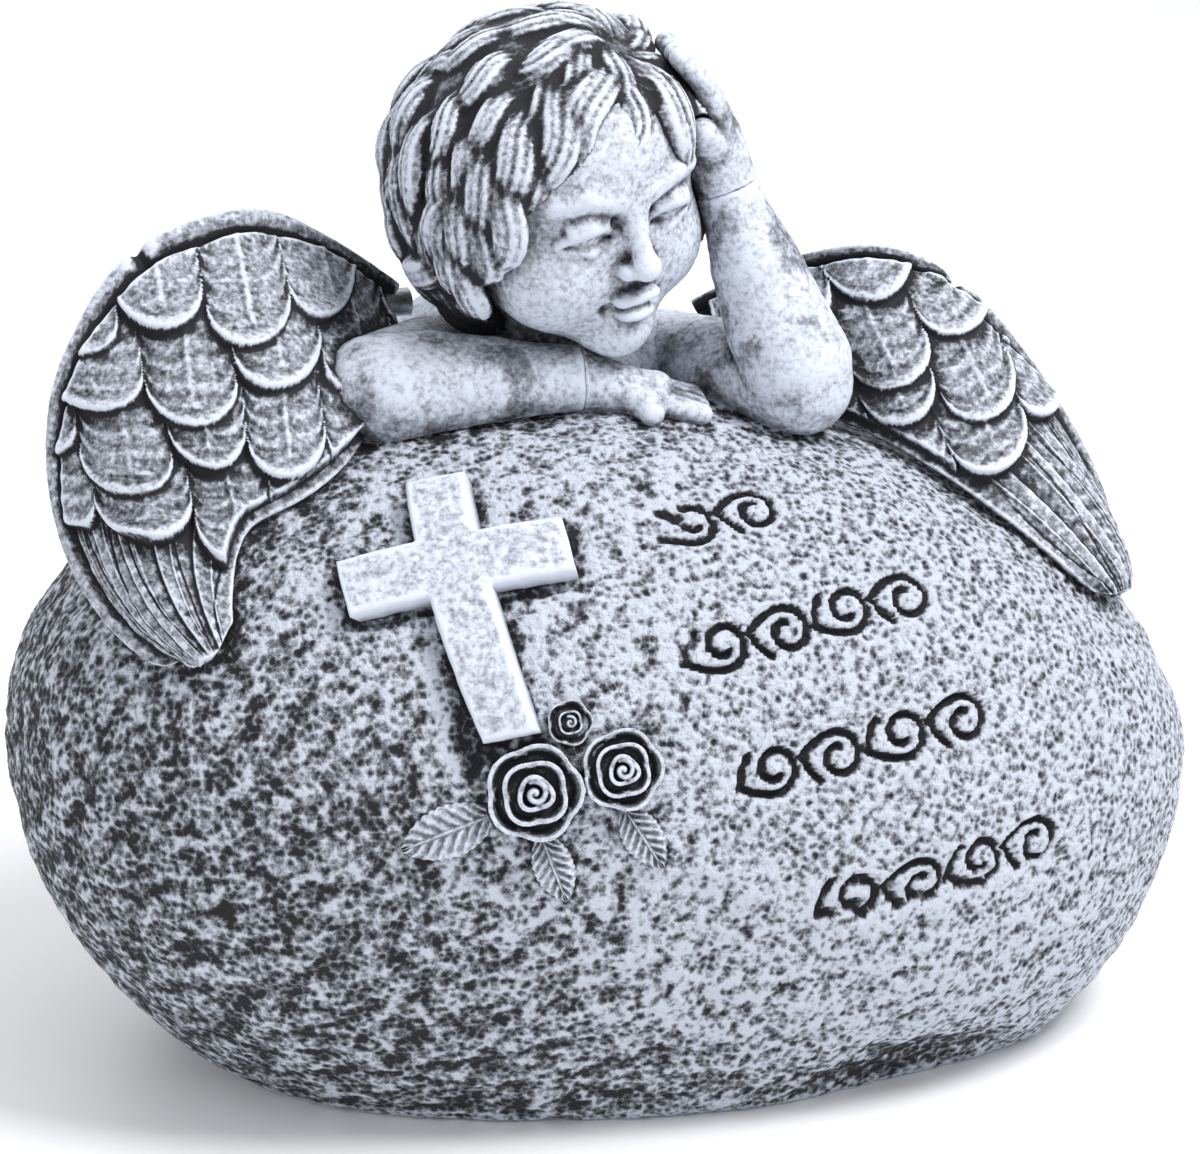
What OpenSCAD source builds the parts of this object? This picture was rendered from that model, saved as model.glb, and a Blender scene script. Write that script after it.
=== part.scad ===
// Resin garden figurine: a small winged cherub leans on a boulder-shaped memorial stone.
// The stone's flat underside is z = 0, the front faces -Y, and the origin is under the middle.

/* [Boulder] */
// Width of the boulder, from side to side
stone_w = 171; // [140:1:205]
// Reach of the boulder in front of the middle plane
stone_front = 51; // [42:1:61]
// Reach of the boulder behind the middle plane
stone_back = 49; // [41:1:59]
// Height of the boulder's crown
stone_h = 94; // [78:1:113]
// Height of the boulder's widest level
belly_z = 42; // [34:1:46]
// Depth below the widest level where the round would close if it weren't cut flat
belly_drop = 62; // [56:1:75]
// How far the crown lies to the right of the middle
crown_shift = 2.5; // [0:0.5:6]
// Lean of the boulder towards its right side, in degrees
stone_lean = 7; // [0:0.5:9]
// Squareness of the boulder's plan, where 2 is an ellipse
stone_square = 2.4; // [2:0.1:3]
// Wall of the hollow casting
wall = 9; // [7.5:0.5:11]
// Thickness of the casting's floor
floor_t = 8; // [6:0.5:10]

/* [Plug] */
// Diameter of the pour hole in the floor
pour_d = 24; // [16:1:32]
// Width of the plug's flange around the hole
flange_w = 3; // [2:0.5:4]
// Thickness of the plug's flange
flange_t = 2.4; // [1.5:0.1:3]
// How far the plug lies above the surface that the stone stands on
plug_recess = 0.5; // [0.3:0.1:1]

/* [Head] */
// Width of the skull
head_w = 39; // [33:1:46]
// Depth of the skull from brow to back
head_d = 43; // [36:1:50]
// Height of the skull from chin to crown
head_h = 45; // [38:1:52]
// Height of the head's middle over the boulder's crown
head_rise = 32; // [31:0.5:36]
// Thickness of the hair
hair_t = 4.6; // [3:0.2:6]
// Depth of the waves in the hair
hair_wave = 1; // [0.4:0.1:1.4]

/* [Body and arms] */
// Half the width across the shoulders
shoulder_w = 27; // [23:1:31]
// Depth of the body from chest to back
torso_d = 17; // [14:0.5:20]
// Radius of the neck
neck_r = 8; // [6.5:0.5:9]
// Radius of an elbow
elbow_r = 7.6; // [6.5:0.1:9]
// Radius of a wrist
wrist_r = 4.4; // [3.7:0.1:5.2]
// Radius of a finger
finger_r = 1.8; // [1.5:0.1:2.2]

/* [Wings] */
// Thickness of a wing's blade
wing_t = 3.4; // [2.8:0.1:4.4]
// Extra thickness of a wing's leading edge
wing_rim = 2.6; // [1.6:0.1:3.4]
// How far a wing's blade arches outwards
wing_arch = 4; // [2:0.5:6]
// Height of a covert feather over the blade
covert_h = 1.9; // [1.2:0.1:2.6]

/* [Cross and roses] */
// Length of the cross
cross_l = 40; // [35:1:50]
// Width of the cross from arm to arm
cross_w = 31; // [26:1:37]
// Width of the cross's upright and bar
cross_bar = 8.4; // [7:0.1:10]
// Height of the cross over the boulder
cross_t = 3.6; // [3:0.1:4.4]
// Lean of the cross to the left, in degrees
cross_lean = 10; // [0:1:20]
// Radius of the large rose
rose_r = 6.4; // [5.3:0.1:7.4]
// Radius of the small rose
small_rose_r = 5.4; // [4.5:0.1:6]
// Radius of the rosebud
bud_r = 3; // [2.5:0.1:3.5]
// Length of a leaf
leaf_l = 13; // [10.5:0.5:16]
// Thickness of a leaf
leaf_t = 1.2; // [0.9:0.1:1.6]

/* [Pins and clearances] */
// Diameter of the neck's and the wings' pins
pin_d = 4; // [3:0.2:5]
// Diameter of the cross's pins
cross_pin_d = 2.6; // [2:0.2:3.2]
// Radial clearance of a pin or plug in its hole
pin_gap = 0.1; // [0.05:0.05:0.2]
// Thickness of the glue between two castings
glue = 0.2; // [0.1:0.05:0.3]

/* [Hidden] */

stone_mid = [crown_shift, 0, belly_z];
skin_grey = "#cfd6e2";
stone_grey = "#9fa3ad";
hair_grey = "#77797f";
big = 400;        // larger than the whole figurine
above = 0.05;     // overshoot of a cut past the face that it opens

// ---- Shared geometry ----

function unit(v) = v / norm(v);

// A smooth curve through pts; s runs from 0 at the first point to 1 at the last.
function curve(pts, s) =
    let (n = len(pts) - 1, k = max(0, min(floor(s * n), n - 1)), t = s * n - k,
         a = pts[max(k - 1, 0)], b = pts[k], c = pts[k + 1], d = pts[min(k + 2, n)])
    (2 * b + (c - a) * t + (2 * a - 5 * b + 4 * c - d) * t * t
        + (3 * b - a - 3 * c + d) * t * t * t) / 2;

// The boulder is a rounded, squarish egg that leans to one side.
function stone_radius(d) =
    let (a = stone_w / 2 + (d.x < 0 ? crown_shift : -crown_shift),
         b = d.y < 0 ? stone_front : stone_back,
         c = d.z < 0 ? belly_drop : stone_h - belly_z,
         plan = pow(pow(abs(d.x) / a, stone_square) + pow(abs(d.y) / b, stone_square),
                    2 / stone_square))
    1 / sqrt(plan + pow(d.z / c, 2));

// Between the world and the boulder's own leaning axes
function leaned(q) = stone_mid
    + [q.x * cos(stone_lean) + q.z * sin(stone_lean), q.y,
       q.z * cos(stone_lean) - q.x * sin(stone_lean)];
function upright(p) =
    let (q = p - stone_mid)
    [q.x * cos(stone_lean) - q.z * sin(stone_lean), q.y,
     q.z * cos(stone_lean) + q.x * sin(stone_lean)];

// The point at a height over the boulder, in the direction of p
function on_stone(p, height = 0) =
    let (d = unit(upright(p))) leaned(d * (stone_radius(d) + height));

// Places on the crown are given for these heights, and they rise with the crown.
drawn_h = 94;
drawn_belly = 42;
crown_rise = (stone_h - belly_z) / (drawn_h - drawn_belly);
function crown(p) = [p.x, p.y, belly_z + (p.z - drawn_belly) * crown_rise];
function placed(q) = leaned([q.x, q.y, q.z * crown_rise]);

// p itself, or if it is lower than the height over the boulder, the point at that height
function off_stone(p, height = 0) =
    let (q = upright(p)) norm(q) < stone_radius(unit(q)) + height ? on_stone(p, height) : p;

// The boulder's outward normal near p, anywhere but straight above its middle
function stone_normal(p) =
    let (here = on_stone(p), away = unit(here - stone_mid),
         right = unit(cross([0, 0, 1], away)), rise = cross(away, right))
    unit(cross(on_stone(here + right) - here, on_stone(here + rise) - here));

// Puts children on the boulder: +Z is outwards, and +Y points up the boulder's face.
module seat(p, height = 0, spin = 0) {
    n = stone_normal(p);
    u = unit(cross([0, 0, 1], n));
    v = cross(n, u);
    o = on_stone(p) + n * height;
    multmatrix([[u.x, v.x, n.x, o.x], [u.y, v.y, n.y, o.y], [u.z, v.z, n.z, o.z]])
        rotate(spin) children();
}

// A closed skin over rings of points; the first and last ring may be a single point.
module skin(rings) {
    starts = [for (i = 0, sum = 0; i < len(rings); sum = sum + len(rings[i]), i = i + 1) sum];
    points = [for (r = rings) each r];
    last = len(rings) - 1;
    faces = [
        for (i = [0:last - 1])
            let (a = starts[i], b = starts[i + 1], m = len(rings[i]), n = len(rings[i + 1]))
            for (j = [0:max(m, n) - 1])
                let (k = (j + 1) % max(m, n))
                each m == 1 ? [[a, b + j, b + k]]
                    : n == 1 ? [[b, a + k, a + j]]
                    : [[a + j, b + j, b + k], [a + j, b + k, a + k]]
    ];
    polyhedron(points, faces, convexity = 8);
}

// A solid between two grids of the same size
module slab(top, bottom) {
    m = len(top);
    n = len(top[0]);
    points = [for (r = top) each r, for (r = bottom) each r];
    under = m * n;
    function at(i, j) = i * n + j;
    function quad(a, b, c, d) = [[c, b, a], [d, c, a]];
    faces = [
        for (i = [0:m - 2], j = [0:n - 2]) each
            quad(at(i, j), at(i, j + 1), at(i + 1, j + 1), at(i + 1, j)),
        for (i = [0:m - 2], j = [0:n - 2]) each
            quad(under + at(i, j), under + at(i + 1, j),
                 under + at(i + 1, j + 1), under + at(i, j + 1)),
        for (i = [0:m - 2]) each
            quad(at(i, 0), at(i + 1, 0), under + at(i + 1, 0), under + at(i, 0)),
        for (i = [0:m - 2]) each
            quad(at(i, n - 1), under + at(i, n - 1),
                 under + at(i + 1, n - 1), at(i + 1, n - 1)),
        for (j = [0:n - 2]) each
            quad(at(0, j), under + at(0, j), under + at(0, j + 1), at(0, j + 1)),
        for (j = [0:n - 2]) each
            quad(at(m - 1, j), at(m - 1, j + 1),
                 under + at(m - 1, j + 1), under + at(m - 1, j))
    ];
    polyhedron(points, faces, convexity = 8);
}

// Directions over a ball, row by row from the bottom pole to the top pole
function ball_ring(i, rows, cols) =
    let (lat = -90 + 180 * i / rows)
    i == 0 ? [[0, 0, -1]] : i == rows ? [[0, 0, 1]]
    : [for (j = [0:cols - 1])
        let (lon = 360 * j / cols) [cos(lat) * cos(lon), cos(lat) * sin(lon), sin(lat)]];

// The boulder, grown or shrunk by a distance
module boulder(grow = 0, rows = 22, cols = 44) {
    skin([for (i = [0:rows])
        [for (d = ball_ring(i, rows, cols)) leaned(d * (stone_radius(d) + grow))]]);
}

// Balls of given radii, joined one to the next and grown; each entry is [place, radius].
module limb(balls, grow = 0) {
    for (i = [0:len(balls) - 2])
        hull() for (b = [balls[i], balls[i + 1]])
            translate(b[0]) sphere(b[1] + grow, $fn = 20);
}

// A round pin through p along a direction, with its two reaches from p
module pin(p, dir, back, ahead, d) {
    w = unit(dir);
    u = unit(cross(abs(w.z) < 0.9 ? [0, 0, 1] : [1, 0, 0], w));
    v = cross(w, u);
    o = p - w * back;
    multmatrix([[u.x, v.x, w.x, o.x], [u.y, v.y, w.y, o.y], [u.z, v.z, w.z, o.z]])
        cylinder(h = back + ahead, d = d, $fn = 48);
}

// ---- Stone ----

flange_d = pour_d + 2 * flange_w;

module stone_shell() {
    color(stone_grey) difference() {
        boulder();
        translate([-big / 2, -big / 2, -big]) cube(big);
        difference() {
            boulder(-wall, 14, 28);
            translate([-big / 2, -big / 2, floor_t - big]) cube(big);
        }
        translate([0, 0, -above]) cylinder(h = floor_t + wall, d = pour_d, $fn = 64);
        translate([0, 0, -above])
            cylinder(h = above + plug_recess + flange_t + glue, d = flange_d, $fn = 64);
        for (y = cross_pin_y) cross_pin(y, pin_gap);
    }
}

module base_plug() {
    color("#3c3d40") translate([0, 0, plug_recess]) {
        cylinder(h = flange_t, d = flange_d - 2 * pin_gap, $fn = 64);
        cylinder(h = floor_t - plug_recess, d = pour_d - 2 * pin_gap, $fn = 64);
    }
}

// ---- Head ----

head_at = [-6, 4, stone_h + head_rise];
head_turn = [10, -8, 23];      // nod, tilt and turn of the head
neck_base = on_stone(crown([-6, 21, 94]), 3);

module head_place() {
    translate(head_at) rotate(head_turn) children();
}

// A soft bump of height h around direction way, with an angular size in degrees
function bump(d, way, size, h) =
    h * exp(-2 * (1 - d * unit(way)) / pow(size * PI / 180, 2));

function face_relief(d) =
    bump(d, [0, -1, -0.2], 8, 3) + bump(d, [0, -1, 0.02], 8, 1.2)
    + bump(d, [0, -0.85, -0.66], 15, 2.2) + bump(d, [0, -0.93, -0.42], 7, 1.2)
    + bump(d, [0, -0.94, 0.3], 22, 0.8)
    + bump(d, [0.52, -0.8, -0.33], 19, 1.6) + bump(d, [-0.52, -0.8, -0.33], 19, 1.6)
    + bump(d, [0.34, -0.93, 0.04], 9, -1.2) + bump(d, [-0.34, -0.93, 0.04], 9, -1.2);

function skull_radius(d) =
    let (low = max(0, -d.z), jaw = 1 - 0.2 * low * low,
         nape = 1 - 0.34 * low * max(0, d.y + 0.25))
    nape / sqrt(pow(2 * d.x / (head_w * jaw), 2) + pow(2 * d.y / head_d, 2)
                + pow(2 * d.z / head_h, 2)) + face_relief(d);

module head() {
    color(skin_grey) difference() {
        head_place() skin([for (i = [0:26])
            [for (d = ball_ring(i, 26, 48)) d * skull_radius(d)]]);
        pin(neck_top, neck_way, big, neck_in, 2 * (neck_r + pin_gap));
        neck_dowel(pin_gap);
    }
}

// Angle from the back of the head to the hairline, for a turn around that axis
function hairline(turn) = 117 + (sin(turn) > 0 ? 14 * sin(turn) : -48 * pow(-sin(turn), 1.5));

function hair_way(theta, turn) =
    [sin(theta) * cos(turn), cos(theta), sin(theta) * sin(turn)];

function lock_wave(theta, turn) =
    hair_wave * (sin(7 * turn + 40 * sin(3 * theta)) + 0.6 * sin(5 * theta + 2 * turn));

function hair_ring(part, grow, cols) =
    [for (j = [0:cols - 1])
        let (turn = 360 * j / cols, theta = part * hairline(turn), d = hair_way(theta, turn))
        d * (skull_radius(d) + grow
            + (grow > glue ? lock_wave(theta, turn) * sin(90 * min(1, part * 4)) : 0))];

hair_under = 1.5;                    // hair left between the head and the hand that lies in it

module hair_cap(rows = 14, cols = 46) {
    color(hair_grey) difference() {
        head_place() skin(concat(
            [[[0, skull_radius([0, 1, 0]) + hair_t, 0]]],
            [for (i = [1:rows]) hair_ring(i / rows, hair_t * (i == rows ? 0.7 : 1), cols)],
            [for (i = [rows:-1:1]) hair_ring(i / rows, glue, cols)],
            [[[0, skull_radius([0, 1, 0]) + glue, 0]]]));
        difference() {
            union() {
                left_arm_form(glue);
                left_hand_form(glue);
            }
            head_space(hair_under - glue);
        }
        neck(glue);
        neck_dowel(pin_gap);
        torso_block();
    }
}

// The head's outside, grown by a distance
module head_space(grow, rows = 24, cols = 40) {
    head_place() skin([for (i = [0:rows])
        [for (d = ball_ring(i, rows, cols)) d * (skull_radius(d) + grow)]]);
}

// ---- Body ----

neck_in = 5;                         // how deep the neck goes into the head
neck_way = unit(head_at + [0, 3, -4] - neck_base);
neck_top = head_at + [0, 3, -4] - neck_way * (head_h / 2 - 6);
shoulder_right = on_stone(crown([-25, 17, 104]), 3.5);
shoulder_left = on_stone(crown([14, 17, 99]), 3.5);

// Down the back: place in the boulder's leaning axes, half width, and thickness over the boulder
back_line = [
    [[-14, 2, 52], 14, 4], [[-14, 12, 52], 0.8 * shoulder_w, 0.75 * torso_d],
    [[-15, 22, 50], shoulder_w, torso_d], [[-15, 32, 44], 0.92 * shoulder_w, torso_d],
    [[-15, 40, 34], 0.78 * shoulder_w, 0.85 * torso_d],
    [[-15, 44, 23], 0.66 * shoulder_w, 0.55 * torso_d], [[-15, 46, 13], 0.48 * shoulder_w, 4],
    [[-15, 47, 6], 5, 1]];

function back_point(s, t) =
    let (p = curve([for (b = back_line) b[0]], s), w = curve([for (b = back_line) b[1]], s),
         h = curve([for (b = back_line) b[2]], s), dome = pow(max(0, cos(90 * t)), 0.7),
         groove = 0.1 * h * exp(-pow(t / 0.16, 2)))
    on_stone(placed(p + [w * t, 0, -4 * t * t]), glue + 1 + (h - groove) * dome);

module torso(rows = 24, cols = 20) {
    share = [for (j = [0:cols]) 2 * j / cols - 1];
    top = [for (i = [0:rows]) [for (t = share) back_point(i / rows, t)]];
    bottom = [for (r = top) [for (p = r) on_stone(p, -1.5)]];
    color(skin_grey) difference() {
        union() {
            slab(top, bottom);
            neck(0);
        }
        boulder(glue);
        neck_dowel(pin_gap);
        wing_blade(right_edge, right_trail, 1, 2 * glue);
        wing_blade(left_edge, left_trail, -1, 2 * glue);
        wing_dowel(right_root, 1, pin_gap);
        wing_dowel(left_root, -1, pin_gap);
    }
}

module neck(grow) {
    pin(neck_base, neck_way, grow, norm(neck_top - neck_base) + neck_in - glue + grow,
        2 * (neck_r + grow));
}

module neck_dowel(gap) {
    pin(neck_top, neck_way, 9 + gap, neck_in + 6 + gap, pin_d + 2 * gap);
}

module neck_pin() {
    color("silver") neck_dowel(0);
}

// ---- Arms and hands ----

right_elbow = on_stone(crown([-31, -2, 96]), elbow_r - 1.5);
right_wrist = on_stone(crown([-3, -4, 94]), wrist_r);
left_elbow = on_stone(crown([25.5, -5, 92]), elbow_r - 1);
left_wrist = head_at + [24, -4.5, -2];

// Keeps what lies on the wrist's far side from the elbow, or with keep = -1 on its near side
module past_wrist(wrist, elbow, keep) {
    w = unit(wrist - elbow) * keep;
    intersection() {
        children();
        pin(wrist + w * glue / 2, w, 0, 60, 90);
    }
}

module right_arm_form(grow) {
    limb([[shoulder_right, 7.5], [(shoulder_right + right_elbow) / 2, 7.5],
          [right_elbow, elbow_r], [right_elbow + [2.5, -1.4, 0.2], elbow_r],
          [right_elbow * 0.72 + right_wrist * 0.28, 7.3],
          [right_elbow * 0.45 + right_wrist * 0.55, 6.4],
          [right_elbow * 0.2 + right_wrist * 0.8, 5.2],
          [right_wrist, wrist_r], [right_wrist + [4, 0, 0], wrist_r]], grow);
}

module right_arm() {
    color(skin_grey) difference() {
        past_wrist(right_wrist, right_elbow, -1) right_arm_form(0);
        boulder(glue);
        torso_block();
        wing_blade(right_edge, right_trail, 1, 2 * glue);
        wing_dowel(right_root, 1, pin_gap);
    }
}

module right_hand() {
    palm = on_stone(right_wrist + [7, -1, 0], 2.6);
    color(skin_grey) difference() {
        past_wrist(right_wrist, right_elbow, 1) {
            limb([[right_wrist, wrist_r], [palm, 3.4], [palm + [3, -0.4, 0], 3]]);
            for (k = [-1.5:1:1.5]) {
                knuckle = on_stone(palm + [4, 1.9 * k, 0], 2.2);
                limb([[palm + [0, 1.2 * k, 0], 2.4], [knuckle, finger_r],
                      [on_stone(knuckle + [5.5, 0.4 * k - 0.5, -1], 1.5), finger_r * 0.85]]);
            }
            limb([[palm, 2.6], [on_stone(palm + [2, -5, 0], 1.6), finger_r]]);
        }
        boulder(glue);
    }
}

module left_arm_form(grow) {
    limb([[shoulder_left, 7.5], [(shoulder_left + left_elbow) / 2, 7.3],
          [left_elbow, elbow_r], [left_elbow + [-0.6, 0, 3], elbow_r + 0.3],
          [left_elbow * 0.7 + left_wrist * 0.3, 7.4],
          [left_elbow * 0.4 + left_wrist * 0.6, 6.3],
          [left_elbow * 0.15 + left_wrist * 0.85, 4.9],
          [left_wrist, wrist_r], [left_wrist * 1.06 - left_elbow * 0.06, wrist_r]], grow);
}

module left_arm() {
    color(skin_grey) difference() {
        past_wrist(left_wrist, left_elbow, -1) left_arm_form(0);
        boulder(glue);
        torso_block();
        wing_blade(left_edge, left_trail, -1, 2 * glue);
        wing_dowel(left_root, -1, pin_gap);
        head_space(hair_under);
    }
}

module left_hand_form(grow) {
    palm = left_wrist + [-2.5, -0.5, 7.5];
    limb([[left_wrist, wrist_r], [palm, 4.6], [palm + [-0.8, 0, 2.5], 4.2]], grow);
    for (k = [-1.5:1:1.5]) {
        knuckle = palm + [0, 2.2 * k, 4.5];
        limb([[palm + [0, 1.5 * k, 0], 3], [knuckle, finger_r * 1.15],
              [knuckle + [-2, 0.5 * k, 4.5], finger_r],
              [knuckle + [-5.5, 0.7 * k, 8.2], finger_r * 0.85]], grow);
    }
    limb([[palm + [0, -2, -1], 2.8], [palm + [-2.6, -6, 2.4], finger_r * 1.15]], grow);
}

module left_hand() {
    color(skin_grey) difference() {
        past_wrist(left_wrist, left_elbow, 1) left_hand_form(0);
        head_space(hair_under);
    }
}

// The body's space, with its glue gap, that the arms and the hair are cut to fit
module torso_block(rows = 24, cols = 20) {
    share = [for (j = [0:cols]) 2 * j / cols - 1];
    grown = [for (i = [0:rows]) [for (t = share)
        let (p = back_point(i / rows, t)) p + unit(p - stone_mid) * 2 * glue]];
    inner = [for (r = grown) [for (p = r) on_stone(p, -1.5)]];
    slab(grown, inner);
}

// ---- Wings: leading and trailing edges, as places in the boulder's leaning axes ----

right_edge = [[-38, 21, 59], [-50, 18, 66], [-61, 14, 70], [-75, 9, 64.5], [-81.5, 4, 54],
              [-83.5, -1, 42.5], [-81, -10, 31], [-74, -22, 23], [-64.5, -32, 20]];
right_trail = [[-38, 12, 52], [-41.5, -1, 48], [-45.5, -12, 43.5], [-51.5, -17, 40], [-59, -18.5, 36],
               [-61.5, -22, 33], [-62.5, -26, 30], [-62.5, -29.5, 26.5], [-61.5, -33, 22]];
left_edge = [[10, 21, 59], [21, 18, 66.5], [32, 14, 70.5], [42.5, 11, 66], [52, 7, 57],
             [60, 2, 46.5], [64, -4, 38.5], [65, -9.5, 32.5], [63.5, -14, 29.5]];
left_trail = [[10, 12, 52], [20, 3, 50], [29, -3, 48], [36.5, -9, 45], [44, -14, 41],
              [50.5, -17, 37.5], [55, -18.5, 34], [58, -18.5, 31.5], [60, -17.5, 30]];

right_root = placed(right_edge[0] + [-3.5, -2.5, -1.5]);
left_root = placed(left_edge[0] + [3.5, -2.5, -1.5]);

// Middle of the blade: s runs along the leading edge, t from it to the trailing edge.
function blade(edge, trail, s, t) =
    let (a = placed(curve(edge, s)), b = on_stone(placed(curve(trail, s)), glue + wing_t / 2),
         p = a + (b - a) * t)
    p + unit(p - stone_mid) * wing_arch * sin(180 * t) * min(1, 3 * s);

function blade_normal(edge, trail, s, t, side) =
    let (step = 0.02, s0 = min(s, 1 - step), t0 = min(t, 1 - step),
         p = blade(edge, trail, s0, t0))
    side * unit(cross(blade(edge, trail, s0 + step, t0) - p, blade(edge, trail, s0, t0 + step) - p));

function blade_half(t) = (wing_t + wing_rim * exp(-pow(t / 0.12, 2))) / 2;

function blade_out(edge, trail, s, t, side, more = 0) =
    off_stone(blade(edge, trail, s, t)
        + blade_normal(edge, trail, s, t, side) * (blade_half(t) + more), glue + wing_t + more);

function blade_in(edge, trail, s, t, side, more = 0) =
    off_stone(blade(edge, trail, s, t)
        - blade_normal(edge, trail, s, t, side) * (blade_half(t) + more), glue - more);

// A wing's blade, or with more the space around it that its neighbours are cut to fit
module wing_blade(edge, trail, side, more = 0, rows = 26, cols = 9) {
    along = [for (i = [0:rows]) i / rows + (2 * i / rows - 1) * more / 50];
    over = [for (j = [0:cols]) j / cols + (2 * j / cols - 1) * more / 10];
    top = [for (s = along) [for (t = over) blade_out(edge, trail, s, t, side, more)]];
    bottom = [for (s = along) [for (t = over) blade_in(edge, trail, s, t, side, more)]];
    if (side < 0) slab(top, bottom);
    else slab(bottom, top);
}

// Height of the covert feathers: rows of round-ended scales, each row over the next one
function scale_end(s, k) =
    let (count = 6 + k, u = 2 * abs((s * count + 0.5 * k) % 1 - 0.5))
    0.14 + 0.165 * (k + 1) - 0.07 * (1 - sqrt(max(0, 1 - u * u)));

function covert_height(s, t) =
    let (fade = min(1, 12 * (1 - s)), rise = max([for (k = [0:2])
        t > scale_end(s, k) ? 0 : 1 - 0.22 * k - 1.6 * (scale_end(s, k) - t)]))
    covert_h * max(0.15, fade * rise);

module coverts(edge, trail, side, rows = 33, cols = 14) {
    // The coverts cover the upper part of the wing, down to its last row of scales.
    s0 = 0.06;
    s1 = 0.66;
    t0 = 0.14;
    t1 = 0.66;
    grid = function (lift) [for (i = [0:rows]) [for (j = [0:cols])
        let (a = i / rows, s = s0 + (s1 - s0) * a, t = t0 + (t1 - t0) * j / cols)
        blade_out(edge, trail, s, t, side, 2 * glue + lift * covert_height(a, t))]];
    if (side < 0) slab(grid(1), grid(0));
    else slab(grid(0), grid(1));
}

// The pin between a wing and the body; side is 1 for the right wing and -1 for the left one
module wing_dowel(root, side, gap) {
    pin(root, [8 * side, 1.5, 0], 3 + gap, 8 + gap, pin_d + 2 * gap);
}

module wing(edge, trail, side, root) {
    color(stone_grey) difference() {
        wing_blade(edge, trail, side);
        wing_dowel(root, side, pin_gap);
    }
}

module right_wing() {
    wing(right_edge, right_trail, 1, right_root);
}

module left_wing() {
    wing(left_edge, left_trail, -1, left_root);
}

module right_wing_coverts() {
    color(stone_grey) difference() {
        coverts(right_edge, right_trail, 1);
        right_arm_form(glue);
    }
}

module left_wing_coverts() {
    color(stone_grey) difference() {
        coverts(left_edge, left_trail, -1);
        left_arm_form(glue);
    }
}

module right_wing_pin() {
    color("silver") wing_dowel(right_root, 1, 0);
}

module left_wing_pin() {
    color("silver") wing_dowel(left_root, -1, 0);
}

// ---- Cross and roses ----

cross_at = [-25.8, -32.7, 81.4];       // where the bar crosses the upright
cross_top = 14.5;                  // from there to the upright's top
cross_pin_y = [0, cross_top - cross_l * 0.75];

// A point on the boulder at (x, y) on the cross's own face, at a height over the boulder
function cross_point(x, y, height) =
    let (n = stone_normal(cross_at), u = unit(cross([0, 0, 1], n)), v = cross(n, u),
         a = x * cos(cross_lean) - y * sin(cross_lean),
         b = x * sin(cross_lean) + y * cos(cross_lean))
    on_stone(on_stone(cross_at) + u * a + v * b, height);

module cross_pin(y, gap) {
    foot = cross_point(0, y, 0);
    pin(foot, foot - stone_mid, 5 + gap, cross_t * 0.5 + gap, cross_pin_d + 2 * gap);
}

// Even steps of about 3 mm from one place to the next, without the last one
function steps(from, to) =
    let (n = ceil((to - from) / 3)) [for (i = [0:n - 1]) from + (to - from) * i / n];

// The cross is one plate that follows the boulder, made from the cells of a grid.
module cross_body() {
    half = cross_bar / 2;
    xs = [each steps(-cross_w / 2, -half), each steps(-half, half),
          each steps(half, cross_w / 2), cross_w / 2];
    ys = [each steps(cross_top - cross_l, -half), each steps(-half, half),
          each steps(half, cross_top), cross_top];
    nx = len(xs);
    ny = len(ys);
    function filled(i, j) = i >= 0 && j >= 0 && i < nx - 1 && j < ny - 1
        && (abs(xs[i] + xs[i + 1]) < cross_bar || abs(ys[j] + ys[j + 1]) < cross_bar);
    function low(i, j) = i * ny + j;
    function high(i, j) = nx * ny + low(i, j);
    function quad(a, b, c, d) = [[a, b, c], [a, c, d]];
    points = [for (height = [glue, cross_t], x = xs, y = ys) cross_point(x, y, height)];
    faces = [for (i = [0:nx - 2], j = [0:ny - 2]) if (filled(i, j)) each [
        each quad(high(i, j), high(i, j + 1), high(i + 1, j + 1), high(i + 1, j)),
        each quad(low(i, j), low(i + 1, j), low(i + 1, j + 1), low(i, j + 1)),
        if (!filled(i - 1, j)) each quad(low(i, j), low(i, j + 1), high(i, j + 1), high(i, j)),
        if (!filled(i + 1, j)) each
            quad(low(i + 1, j), high(i + 1, j), high(i + 1, j + 1), low(i + 1, j + 1)),
        if (!filled(i, j - 1)) each quad(low(i, j), high(i, j), high(i + 1, j), low(i + 1, j)),
        if (!filled(i, j + 1)) each
            quad(low(i, j + 1), low(i + 1, j + 1), high(i + 1, j + 1), high(i, j + 1))]];
    color("#d9dee8") difference() {
        polyhedron(points, faces, convexity = 8);
        for (y = cross_pin_y) cross_pin(y, pin_gap);
    }
}

module cross_pins() {
    color("silver") for (y = cross_pin_y) cross_pin(y, 0);
}

cross_foot = cross_point(0, cross_top - cross_l, 0);
rose_gap = 0.3;                     // room between two flowers
rose_at = cross_foot + [2.6, 0, -rose_r - 1];
small_rose_at = rose_at + [rose_r + small_rose_r + rose_gap - 0.7, 0, 2];
bud_at = rose_at + [4.3, 0, rose_r + bud_r - 0.4];

// A rose of ringed petals around a rolled heart
module rose(r, height) {
    rings = 3;
    heart = 0.6;                    // radius of the heart, in rings
    step = r / (rings + heart);
    function petal_top(k) = height * (0.5 + 0.17 * k);
    color(stone_grey) rotate_extrude($fn = 64) difference() {
        union() {
            square([r * 0.86, height * 0.45]);
            for (k = [0:rings - 1]) {
                translate([r - step * (k + 0.5), petal_top(k)]) circle(step / 2, $fn = 24);
                translate([r - step * (k + 1), 0]) square([step * 0.98, petal_top(k)]);
            }
            square([step * 0.7, height]);
        }
        translate([-big, -big / 2]) square([big, big]);
        translate([-big / 2, -big]) square([big, big]);
    }
}

module rose_large() {
    seat(rose_at, glue) rose(rose_r, 4.2);
}

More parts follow.
